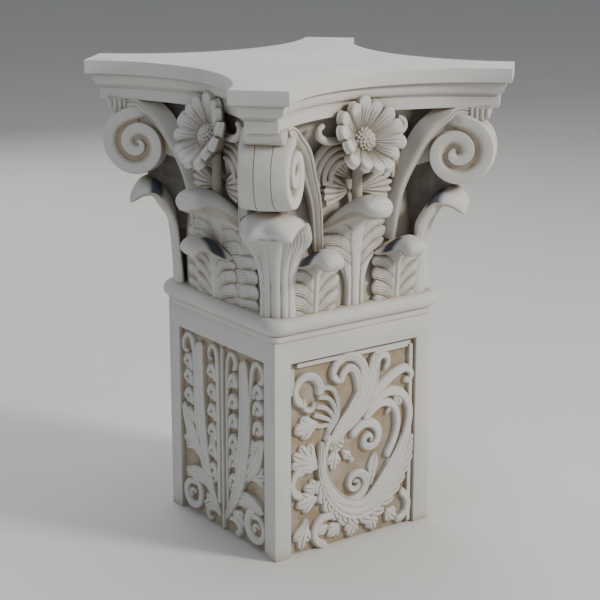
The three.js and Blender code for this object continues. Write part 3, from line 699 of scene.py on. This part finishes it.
def ground_plate(made):
    """The sunk ground behind the coil's turns."""
    angle = np.linspace(0, 2 * math.pi, 64, endpoint=False)
    turns = np.mod(1.25 - angle / (2 * math.pi), 1.0)
    radius = volute_radius(turns) - 16
    rings = []
    for sign in (-1, 1):
        reach = VOLUTE_REACH + radius * np.cos(angle)
        half = volute_half(reach) - VOLUTE_RECESS
        rings.append(local(sign * half, reach, VOLUTE_HEIGHT + radius * np.sin(angle)))
    # The sunk ground is tinted almost full tan: dust with painted shade.
    made.loft(rings, dust=0.9)


def stem_route(side, places):
    """The line of the stem that leaves a volute's top and runs down the bell."""
    points = []
    for reach, across, up in ((262, 27, 661), (240, 28, 663), (219, 32, 651), (199, 40, 630)):
        points.append(turn(local(-side * across, reach, up), side * math.pi / 4))
    points += [local(side * 92, 157, 588), local(side * 77, 151, 545), local(side * 69, 146, 478)]
    return smooth_path(points, places)


def stem_frame(side, places):
    line = stem_route(side, places)
    along = directions(line)
    out = np.array([side * 0.42, -1.0, 0.12])
    across = np.cross(along, out)
    across /= np.linalg.norm(across, axis=1, keepdims=True)
    return line, across * side, np.cross(across, along)


STEM_HALF = [(0, 13.0), (0.3, 12.5), (0.6, 10), (1, 7.5)]
STEM_SECTION = np.array(
    [(-1, -1.7), (-1, -0.1), (-0.9, 0.35), (-0.72, 0.62), (-0.5, 0.66), (-0.42, 0.5), (-0.2, 0.62),
     (0.1, 0.78), (0.42, 0.86), (0.52, 0.7), (0.62, 0.88), (0.8, 0.92), (0.94, 0.7), (1, 0.2),
     (1, -1.7)]
)


def stem(made, side):
    places = np.linspace(0, 1, 100)
    line, across, front = stem_frame(side, places)
    half = stops(STEM_HALF, places)[:, None, None]
    q, rise = STEM_SECTION.T
    ring = across[:, None] * q[:, None] + front[:, None] * rise[:, None] * 0.9
    made.loft(line[:, None] + ring * half, 0.12)


WEB_RIBS = 9


def web(made, side):
    """The ribbed web that spans from a stem back to the coil, and ends in a hollow edge."""
    rows = np.linspace(0, 1, 64)[:, None]
    share = np.linspace(0, 1, WEB_RIBS * 6 + 1)[None]
    places = (0.02 + 0.74 * rows) * (1 - 0.14 * np.sin(math.pi * share) * rows)
    line, across, front = stem_frame(side, places.ravel())
    half = stops(STEM_HALF, places.ravel())[:, None]
    near = (line - across * side * 0 - front * 0.35 * half).reshape(*places.shape, 3)
    angle = np.radians(68 + 132 * rows * (1 - 0.1 * np.sin(math.pi * share)))
    turns = 1.25 - angle / (2 * math.pi)
    radius = volute_radius(turns) - 5
    reach = VOLUTE_REACH + radius * np.cos(angle)
    flat = np.clip(volute_half(reach) - 7 - 9 * rows, 14, 33)
    far = local(-side * flat, reach, VOLUTE_HEIGHT + radius * np.sin(angle))
    far = turn(far, side * math.pi / 4)
    back = turn(local(0, 1, 0), side * math.pi / 4)
    sag = 9 * np.sin(math.pi * share) * ramp(0, 0.5, rows)
    surface = near * (1 - share)[..., None] + far * share[..., None] - back * sag[..., None]
    ribs = np.abs(np.sin(math.pi * WEB_RIBS * share)) ** 0.7 * np.sin(math.pi * share) ** 0.3
    outward = local(side * 0.6, 0.8, 0.1)
    surface = surface + outward * (2.6 * ribs * ramp(0, 0.2, rows))[..., None]
    rear = surface[:, ::-3] - outward * 9
    # Painted shade: the web is tinted tan towards the coil and on its back, and takes the dark colour further down.
    dust = np.concatenate([0.2 + 0.5 * share + 0 * rows, np.ones(rear.shape[:2])], 1)
    made.loft(np.concatenate([surface, rear], 1), dust, 0.35 * dust * ramp(0.4, 1, rows))


PAD_HALF = 27.0


def horn_pad(made):
    """The small pad between an abacus horn and its volute, rounded below and reeded on its sides."""
    angle = np.linspace(0, math.pi / 2, 12)
    front, top, low = VOLUTE_REACH + 50, ABACUS_UNDERSIDE + 2, ABACUS_UNDERSIDE - 20
    turned = 17
    profile = [(front - 60, top), (front, top), (front, low + turned)]
    profile += [(front - turned * (1 - math.cos(t)), low + turned * (1 - math.sin(t))) for t in angle[1:]]
    profile += [(front - 30, low - 4), (front - 60, low - 8)]
    reach, up = np.array(profile).T
    rows = [local(across, reach - ease, up + 0.4 * ease)
            for across, ease in ((-PAD_HALF, 1.5), (-PAD_HALF + 1, 0.3), (-PAD_HALF + 2.4, 0), (0, 0),
                                 (PAD_HALF - 2.4, 0), (PAD_HALF - 1, 0.3), (PAD_HALF, 1.5))]
    made.loft(np.array(rows))
    for side in (-1, 1):
        for k in range(4):
            high = np.linspace(low + 5 - 2.5 * k, top - 2, 12)
            tube(made, local(side * (PAD_HALF - 1.2), front - 6 - 8 * k, high),
                 [(0, 3.2), (0.3, 3.8), (1, 3.8)], sides=12, dust=0.2)


def wedge(made):
    """The mass behind a volute that carries the horn down to the bell."""
    outline = [(150, 470), (192, 470), (204, 505), (222, 536), (240, 548), (238, 568), (214, 576),
               (208, 600), (220, 636), (256, 664),
               (262, ABACUS_UNDERSIDE + 3), (150, ABACUS_UNDERSIDE + 3)]
    middle = np.array([(196.0, 590.0)])
    rows = []
    for across, inset in ((-11, 0.06), (-9, 0), (9, 0), (11, 0.06)):
        flat = np.array(outline) * (1 - inset) + middle * inset
        rows.append(local(across, flat[:, 0], flat[:, 1]))
    # The wedge sits in the gap behind the volute and is coloured as painted shade: full tan and much of the dark
    # colour.
    made.loft(rows, dust=0.9, stain_and_shade=0.55)


def make_volutes():
    scroll_part = Carving()
    for part in (coil, ground_plate, horn_pad, wedge):
        part(scroll_part)
    scrolls, pair, stems = Carving(), Carving(), Carving()
    for angle in CORNERS:
        scrolls.take(scroll_part, angle)
    for side in (-1, 1):
        stem(pair, side)
        web(pair, side)
    for angle in SIDES:
        stems.take(pair, angle)
    scrolls.piece("volutes", "capital", "capital_stone", capital_stone)
    stems.piece("volute_stems", "capital", "capital_stone", capital_stone)

# ---------------------------------------------------------------- leaves


LOBE_PITCH = 22.0
TIP_START = 0.86
TIP_ROWS = 40


def hump(value, centre, reach):
    """1 at the centre, fading to nothing beyond the reach."""
    return np.exp(-(((value - centre) / reach) ** 2))


def reeding(distance, reeds, height):
    """Rounded reeds side by side, each a (centre, radius) away from the middle line."""
    rise = np.zeros_like(distance)
    for centre, radius in reeds:
        rise = np.maximum(rise, np.sqrt(np.clip(1 - ((distance - centre) / radius) ** 2, 0, 1)))
    return height * rise


def lobes_of(spec, s, a, half, length):
    """Lobes that overlap like scales: (relief of the front, share of the half width kept)."""
    opens, hooded, hem = spec["opens"], spec["hooded"], spec["hem"]
    arch = np.sin(2.3 * a) + 0.25 * ramp(0.7, 1, a)
    phase = s * length / LOBE_PITCH - spec["slant"] * arch + spec["shift"]
    share = phase - np.floor(phase)
    leafy = ramp(opens - 0.05, opens + 0.05, s) * (1 - ramp(hooded - 0.04, hooded + 0.05, s))
    scallop = 1 - np.sqrt(np.clip(1 - (2 * share - 1) ** 2, 0, 1))
    outline = 1 - spec["notch"] / half * scallop * ramp(0.5, 1.0, a) * leafy
    scale = share**0.6 * (1 - ramp(0.86, 1.0, share)) - 0.55
    veins = np.abs(np.sin(math.pi * spec["veins"] * share)) ** 0.7 - 0.75
    lobed = 0.35 * ramp(0.08, 0.2, a) + 0.65 * ramp(hem - 0.12, hem + 0.2, a)
    veined = ramp(0.1, 0.18, a) * (1 - 0.5 * ramp(0.8, 1.0, a))
    relief = (spec["step"] * scale * lobed + spec["vein"] * veins * veined) * leafy
    if spec["ridge"]:
        relief = relief + spec["ridge"] * hump(a, hem - 0.06, 0.035) * leafy
    return relief, outline


def leaf(spec, rows, columns):
    """A leaf that stands on the astragal and curls outward into a hood.

    Its front has reeds up the middle, and lobes or fanned ribs beside them; its back, which
    the hood turns up, is smooth.
    """
    end = TIP_START + (1 - TIP_START) * np.sin(np.linspace(0, math.pi / 2, TIP_ROWS))[1:]
    s = np.concatenate([np.linspace(0, TIP_START, rows), end])
    line = smooth_path(spec["middle"], s)
    along = directions(line)
    normal = np.stack([along[:, 1], -along[:, 0]], 1)
    length = np.linalg.norm(np.diff(line, axis=0), axis=1).sum()
    past = np.clip((s - 0.92) / 0.08, 0, 1)
    closing = np.sqrt(np.clip(1 - past**2, 0.01, 1))
    thick = (stops(spec["thickness"], s) / 2 * closing)[:, None]
    half = (stops(spec["halves"], s) * closing ** spec["blunt"])[:, None]
    fall, back = stops(spec["fall"], s)[:, None], stops(spec["back"], s)[:, None]

    front = np.linspace(-1, 1, columns)
    front = 0.5 * np.sin(front * math.pi / 2) + 0.5 * front
    rear = np.sin(np.linspace(math.pi / 2, -math.pi / 2, 26))[1:-1]
    w = np.concatenate([front, rear])[None]
    is_front = np.concatenate([np.ones(columns), np.zeros(len(rear))])[None]
    a, s = np.abs(w), s[:, None]
    edge = np.sqrt(np.clip(1 - a**6, 0, 1))
    opens, hooded = spec["opens"], spec["hooded"]

    relief, outline = lobes_of(spec, s, a, half, length)
    flare = 1 + spec["flare"] * ramp(opens - 0.12, hooded, s)
    distance = a * half / flare
    middle, *sides = spec["reeds"]
    below = 1 - ramp(hooded - 0.02, hooded + 0.12, s)
    stalk = 1 - ramp(opens, opens + 0.16, s)
    relief = relief + reeding(distance, [middle], 3.4) * below
    relief = relief + (reeding(distance, sides, 3.0) * stalk if sides else 0)
    if spec["ribs"]:
        fanned = ramp(opens - 0.12, opens + 0.06, s) * ramp(0.3, 0.42, a)
        relief = relief + 1.5 * (np.abs(np.sin(math.pi * spec["ribs"] * a)) ** 0.8 - 0.6) * fanned
    under = is_front * ramp(hooded - 0.03, hooded + 0.1, s)

    lift = thick * edge
    dent = spec["dent"] * hump(s, 0.95, 0.035) * hump(w, -0.15, 0.35)
    nail = spec["nail"] * hump(s, 0.94, 0.007) * (1 - ramp(0.6, 0.8, a))
    crease = spec["nail"] * hump(s, 0.88, 0.006) * hump(w, -0.25, 0.22)
    rag = spec["rag"] * np.sin(7.0 * w + 1.3) * ramp(0.88, 0.98, s)
    off = np.where(is_front > 0, lift + relief * edge + rag, -lift + dent + nail + crease)
    drape = a**2.2
    across = w * half * outline
    outward = line[:, 0:1] + normal[:, 0:1] * off - back * drape
    up = line[:, 1:2] + normal[:, 1:2] * off - fall * drape
    # Dark patches on the back of the hood, around a share along the leaf, kept to one side when which is set.
    where, reach, strength, which = spec["stain_and_shade"]
    sideways = ramp(0.2, 0.5, w * which) * (1 - ramp(0.86, 0.98, s)) if which else 1.0
    stain_and_shade = hump(s, where, reach) * (1 - is_front) * strength * sideways
    # The front is tinted tan in its hollows, dust with painted shade, and the hood's underside gets painted shade.
    dust = np.clip(0.12 - 0.28 * relief, 0, 0.7) * is_front + 0.5 * under
    made = Carving()
    made.loft(local(across, outward, up), np.clip(dust, 0, 1) * np.ones_like(w), stain_and_shade * np.ones_like(w))
    return made


SMALL_LEAF = {
    "middle": [(142, 366), (147, 420), (150, 450), (158, 470), (175, 480), (192, 475), (199, 461)],
    "halves": [(0, 41), (0.3, 45), (0.55, 45), (0.66, 41), (0.76, 31), (0.88, 22), (1, 19)],
    "thickness": [(0, 13), (0.55, 11), (0.7, 12), (0.85, 17), (0.95, 21), (1, 19)],
    "fall": [(0, 0), (0.55, 0), (0.62, 4), (0.7, 15), (0.78, 17), (0.88, 8), (1, 3)],
    "back": [(0, 0), (0.55, 2), (0.7, 7), (0.85, 6), (1, 2)],
    "reeds": [(0, 4.6)], "flare": -0.35, "opens": -0.1, "hooded": 0.62, "ribs": 0, "ridge": 0,
    "slant": 1.15, "shift": 0.0, "notch": 8.5, "step": 6.5, "vein": 2.2, "veins": 5, "hem": 0.4,
    "dent": 0.0, "nail": 0.0, "rag": 2.2, "blunt": 0.7, "stain_and_shade": (0.77, 0.06, 0.95, -1),
}
SMALL_LEAF_SIDE = {
    **SMALL_LEAF,
    "halves": [(0, 56), (0.4, 57), (0.55, 53), (0.66, 46), (0.76, 36), (0.88, 24), (1, 19)],
    "fall": [(0, 0), (0.5, 0), (0.6, 8), (0.7, 22), (0.78, 21), (0.88, 9), (1, 3)],
    "stain_and_shade": (0.77, 0.075, 1.05, 1),
}
STALKED_LEAF = {
    "middle": [(141, 366), (143, 440), (145, 496), (152, 526), (170, 544), (194, 547), (217, 534)],
    "halves": [(0, 20), (0.26, 21), (0.36, 36), (0.46, 58), (0.58, 64), (0.68, 60), (0.78, 45),
               (0.87, 32), (1, 24)],
    "thickness": [(0, 12), (0.5, 11), (0.66, 15), (0.8, 23), (0.9, 28), (1, 27)],
    "fall": [(0, 0), (0.5, 0), (0.6, 6), (0.68, 19), (0.78, 22), (0.88, 10), (1, 2)],
    "back": [(0, 0), (0.5, 3), (0.66, 11), (0.8, 12), (1, 2)],
    "reeds": [(0, 7), (14, 6)], "flare": 0.9, "opens": 0.34, "hooded": 0.62, "ribs": 0, "ridge": 0,
    "slant": 1.5, "shift": 0.3, "notch": 8.0, "step": 6.5, "vein": 2.0, "veins": 5, "hem": 0.42,
    "dent": 0.0, "nail": 2.2, "rag": 0.0, "blunt": 1.0, "stain_and_shade": (0.6, 0.02, 0.0, 0),
}
BROAD_LEAF = {
    **STALKED_LEAF,
    "halves": [(0, 99), (0.3, 98), (0.45, 96), (0.6, 92), (0.68, 80), (0.78, 55), (0.87, 36), (1, 24)],
    "thickness": [(0, 12), (0.5, 12), (0.62, 20), (0.74, 27), (0.9, 28), (1, 27)],
    "fall": [(0, 0), (0.45, 0), (0.56, 8), (0.66, 22), (0.76, 24), (0.88, 10), (1, 2)],
    "reeds": [(0, 7), (14, 6)], "flare": 0.6, "opens": -0.1, "hem": 0.68, "slant": 0.8,
    "notch": 11.0, "ridge": 4.5,
}
CORNER_LEAF = {
    "middle": [(190, 366), (195, 440), (198, 482), (207, 512), (224, 536), (243, 544), (258, 534),
               (263, 519)],
    "halves": [(0, 28), (0.34, 29), (0.48, 38), (0.6, 50), (0.72, 53), (0.82, 47), (0.92, 37), (1, 36)],
    "thickness": [(0, 16), (0.5, 13), (0.7, 19), (0.84, 18), (0.94, 12), (1, 10)],
    "fall": [(0, 0), (0.5, 0), (0.62, 9), (0.7, 13), (0.77, 6), (0.84, 13), (0.93, 15), (1, 6)],
    "back": [(0, 8), (0.5, 10), (0.7, 15), (0.85, 7), (1, 0)],
    "reeds": [(0, 7.4), (13, 5.4), (22.5, 4.2)], "flare": 0.7, "opens": 0.44, "hooded": 0.7, "ribs": 11,
    "slant": 1.6, "shift": 0.0, "notch": 0.0, "step": 0.0, "vein": 0.0, "veins": 1, "hem": 0.35,
    "ridge": 0, "dent": 6.0, "nail": 0.0, "rag": 1.2, "blunt": 0.2, "stain_and_shade": (0.78, 0.05, 0.95, 0),
}


def make_leaves():
    """The hidden sides have the same leaves, cut more simply."""
    corners, low, tall = Carving(), Carving(), Carving()
    for angle in CORNERS:
        hidden = angle == RIGHT + math.pi / 4
        corners.take(leaf(CORNER_LEAF, *((64, 36) if hidden else (150, 70))), angle)
    for side in SIDES:
        hidden = side in (RIGHT, BACK)
        size = (64, 36) if hidden else (150, 76)
        if side in (FRONT, BACK):
            low.take(leaf(SMALL_LEAF, *size), side, -77)
            low.take(leaf(SMALL_LEAF, *size), side, 77)
            tall.take(leaf(STALKED_LEAF, *((80, 40) if hidden else (190, 84))), side)
        else:
            low.take(leaf(SMALL_LEAF_SIDE, *size), side, -10)
            tall.take(leaf(BROAD_LEAF, *((80, 50) if hidden else (190, 104))), side)
    corners.piece("corner_leaves", "capital", "capital_stone", capital_stone)
    low.piece("low_leaves", "capital", "capital_stone", capital_stone)
    tall.piece("tall_leaves", "capital", "capital_stone", capital_stone)

# ---------------------------------------------------------------- flower and sprays


FLOWER_TILT = math.radians(20)
PETAL_PLEATS = 3


def tip_flower(points):
    """Leans the flower forward, so that its upper petals stand out over the abacus."""
    middle = local(0, FLOWER_REACH, FLOWER_HEIGHT)
    c, s = math.cos(FLOWER_TILT), math.sin(FLOWER_TILT)
    return (points - middle) @ np.array([[1, 0, 0], [0, c, -s], [0, s, c]]) + middle


def flower():
    """An open flower: pleated petals that dish outward and roll over at the rim, round a button."""
    made = Carving()
    angle = np.linspace(0, 2 * math.pi, PETALS * 16, endpoint=False)[None]
    share = np.mod(angle * PETALS / (2 * math.pi), 1)
    petal = np.floor(angle * PETALS / (2 * math.pi))
    dome = np.sqrt(np.clip(1 - (2 * share - 1) ** 2, 0, 1))
    t = np.concatenate([np.linspace(0.22, 0.86, 26), 0.86 + 0.14 * np.linspace(0, 1, 12)[1:]])[:, None]
    uneven = 1 + 0.06 * np.sin(2.4 * petal + 1) + 0.05 * np.sin(angle)
    spread = t * (1 - 0.17 * (1 - dome) * ramp(0.45, 1, t)) * uneven
    cup = FLOWER_CUP * (0.25 + ramp(0.1, 0.95, t)) - 7 * ramp(0.86, 1.0, t) ** 1.5
    swell = 6.5 * (dome - 0.75) * ramp(0.25, 0.9, t)
    pleats = 1.5 * np.cos(2 * math.pi * share * PETAL_PLEATS) * ramp(0.2, 0.35, t) * (1 - ramp(0.6, 0.85, t))
    twist = 3.2 * np.sin(2.1 * petal) * t
    out = cup + swell + pleats + twist
    x, z = np.cos(angle), np.sin(angle)
    front = local(FLOWER_RADIUS * spread * x, FLOWER_REACH + out, FLOWER_HEIGHT + FLOWER_RADIUS * spread * z)
    rim, back = spread[-1:] * FLOWER_RADIUS, []
    for size, drop in ((0.995, 2), (0.97, 4.5), (0.88, 9), (0.6, 22), (0.3, 44)):
        back.append(local(rim * size * x, FLOWER_REACH + out[-1:] - drop, FLOWER_HEIGHT + rim * size * z)[0])
    rings = np.concatenate([front, np.array(back)])
    # Tan in the flower's hollows, painted shade with dust: strongest towards the middle and between the petals; the
    # back gets half.
    shade = np.clip(0.55 - 0.8 * t + 0.5 * (1 - dome) * ramp(0.2, 0.6, t), 0, 0.8)
    dust = np.concatenate([shade, np.full((len(back), angle.size), 0.5)])
    made.loft(tip_flower(rings), dust)
    # The ball under the beads is tinted tan with painted shade, and the beads a little, more towards the button's
    # edge.
    golden = math.pi * (3 - math.sqrt(5))
    beads = 46
    for k in range(beads):
        away = math.sqrt((k + 0.5) / beads)
        x, z = BUTTON_RADIUS * away * math.cos(k * golden), BUTTON_RADIUS * away * math.sin(k * golden)
        centre = local(x, FLOWER_REACH + 17 - 9 * away**2, FLOWER_HEIGHT + z)
        ball(made, tip_flower(centre), 3.3 - 0.5 * (k % 3) / 2, 6, 9, 0.1 + 0.1 * away)
    ball(made, tip_flower(local(0, FLOWER_REACH + 1, FLOWER_HEIGHT)), 16, 8, 24, 0.6)
    return made


def leaflet(made, side, base, reach, aim, spread, lobes=5):
    """A ribbed fan with a scalloped edge, low against the bell."""
    fan = np.linspace(-1, 1, lobes * 10 + 1)[None]
    angle = np.radians(aim + spread * fan)
    t = np.linspace(0.02, 1, 15)[:, None]
    beat = np.abs(np.sin(np.linspace(0, lobes * math.pi, fan.size)))[None]
    radius = reach * t * (1 - 0.14 * fan**2) * (1 - 0.2 * (1 - np.sqrt(beat)) * t**3)
    out = base[1] + 12 * np.sin(1.9 * t) + 4.0 * (beat**0.7 - 0.5) * ramp(0.02, 0.5, t) - 3 * fan**2
    x, z = base[0] + side * radius * np.cos(angle), base[2] + radius * np.sin(angle)
    front = local(x, out, z)
    rear = local(x, out - 11, z)[:, ::-2]
    # Tan between the lobes and all over the back: dust with painted shade.
    dust = np.concatenate([np.clip(0.75 - beat * 0.5, 0, 1) + 0 * t, np.ones((len(t), rear.shape[1]))], 1)
    made.loft(np.concatenate([front, rear], 1), dust)


def sprays(made):
    """The flower's stem, its leaflets, and the tendrils that hook in under the abacus."""
    # The stem under the flower is tinted tan, dust with painted shade; the tendrils and arcs less.
    tube(made, local(0, 150, np.linspace(540, 622, 20)), [(0, 8.5), (1, 7)], dust=0.6)
    for side in (-1, 1):
        leaflet(made, side, (side * 4, 140, 560), 60, 8, 30)
        leaflet(made, side, (side * 4, 136, 576), 56, 44, 26)
        hook = [(30, 152, 640), (48, 158, 641), (66, 161, 643), (78, 161, 650), (78, 159, 660), (69, 157, 665)]
        tube(made, smooth_path([local(side * x, y, z) for x, y, z in hook], np.linspace(0, 1, 50)),
             [(0, 5.5), (0.6, 6.0), (1, 4.5)], dust=0.2)
        for k, radius in enumerate((24, 34, 44, 54)):
            sweep = np.radians(np.linspace(96, -14, 34))
            arc = local(side * (26 + radius * np.cos(sweep)), 151 - 2.4 * k, 584 + radius * np.sin(sweep))
            tube(made, arc, [(0, 3.5), (0.4, 5.6), (1, 3.5)], dust=0.35)


def make_flowers():
    blossom, spray, flowers = flower(), Carving(), Carving()
    sprays(spray)
    for angle in SIDES:
        flowers.take(blossom, angle)
        flowers.take(spray, angle)
    flowers.piece("flowers", "capital", "capital_stone", capital_stone)

# ---------------------------------------------------------------- the capital


def make_capital():
    block = Carving()
    for part in (astragal(), bell(), abacus()):
        block.take(part)
    block.piece("capital_block", "capital", "capital_stone", capital_stone)
    make_volutes()
    make_leaves()
    make_flowers()

# ---------------------------------------------------------------- floor, light and camera


def floor():
    """A pale floor that isn't part of the object."""
    bm = bmesh.new()
    bmesh.ops.create_grid(bm, x_segments=1, y_segments=1, size=30)
    mesh = bpy.data.meshes.new("floor")
    bm.to_mesh(mesh)
    bm.free()
    made = bpy.data.objects.new("floor", mesh)
    bpy.context.collection.objects.link(made)
    n = Nodes("floor_finish")
    n.put(n.shader.inputs["Base Color"], n.mix(n.noise(3, 3), (0.62, 0.61, 0.59, 1), (0.66, 0.65, 0.63, 1)))
    n.shader.inputs["Roughness"].default_value = 0.9
    made.data.materials.append(n.material)


def light(name, place, aim, size, power, color):
    lamp = bpy.data.lights.new(name, "AREA")
    lamp.shape, lamp.size, lamp.energy, lamp.color = "DISK", size, power, color
    made = bpy.data.objects.new(name, lamp)
    made.location = place
    made.rotation_euler = (Vector(aim) - Vector(place)).to_track_quat("-Z", "Y").to_euler()
    bpy.context.collection.objects.link(made)


def studio():
    world = bpy.data.worlds.new("studio")
    bpy.context.scene.world = world
    world.use_nodes = True
    world.node_tree.nodes["Background"].inputs["Color"].default_value = (0.86, 0.9, 0.95, 1)
    world.node_tree.nodes["Background"].inputs["Strength"].default_value = 0.3
    middle = (0, 0, 0.4)
    light("key", (1.9, -3.0, 2.3), middle, 0.9, 142, (1.0, 0.955, 0.89))
    light("fill", (-3.2, -0.6, 1.6), middle, 2.0, 19, (0.82, 0.91, 1.0))
    light("top", (0.2, 0.3, 3.2), middle, 2.0, 42, (0.95, 0.98, 1.0))
    light("rim", (0.6, 3.0, 1.8), middle, 2.0, 30, (1.0, 0.98, 0.95))


CAMERA_HEADING, CAMERA_DIP = 0.6209, 0.2697
CAMERA_PLACE = (-1.4472, -2.0276, 1.0469)
LENS = 97.49


def camera():
    made = bpy.data.objects.new("camera", bpy.data.cameras.new("camera"))
    made.data.sensor_width, made.data.lens = 36.0, LENS
    made.data.clip_start, made.data.clip_end = 0.05, 60
    look = Vector((math.sin(CAMERA_HEADING) * math.cos(CAMERA_DIP),
                   math.cos(CAMERA_HEADING) * math.cos(CAMERA_DIP), -math.sin(CAMERA_DIP)))
    made.location = Vector(CAMERA_PLACE) * (UNIT / 0.001)
    made.rotation_euler = look.to_track_quat("-Z", "Y").to_euler()
    bpy.context.collection.objects.link(made)
    bpy.context.scene.camera = made


camera()
floor()
studio()
make_pier()
make_capital()
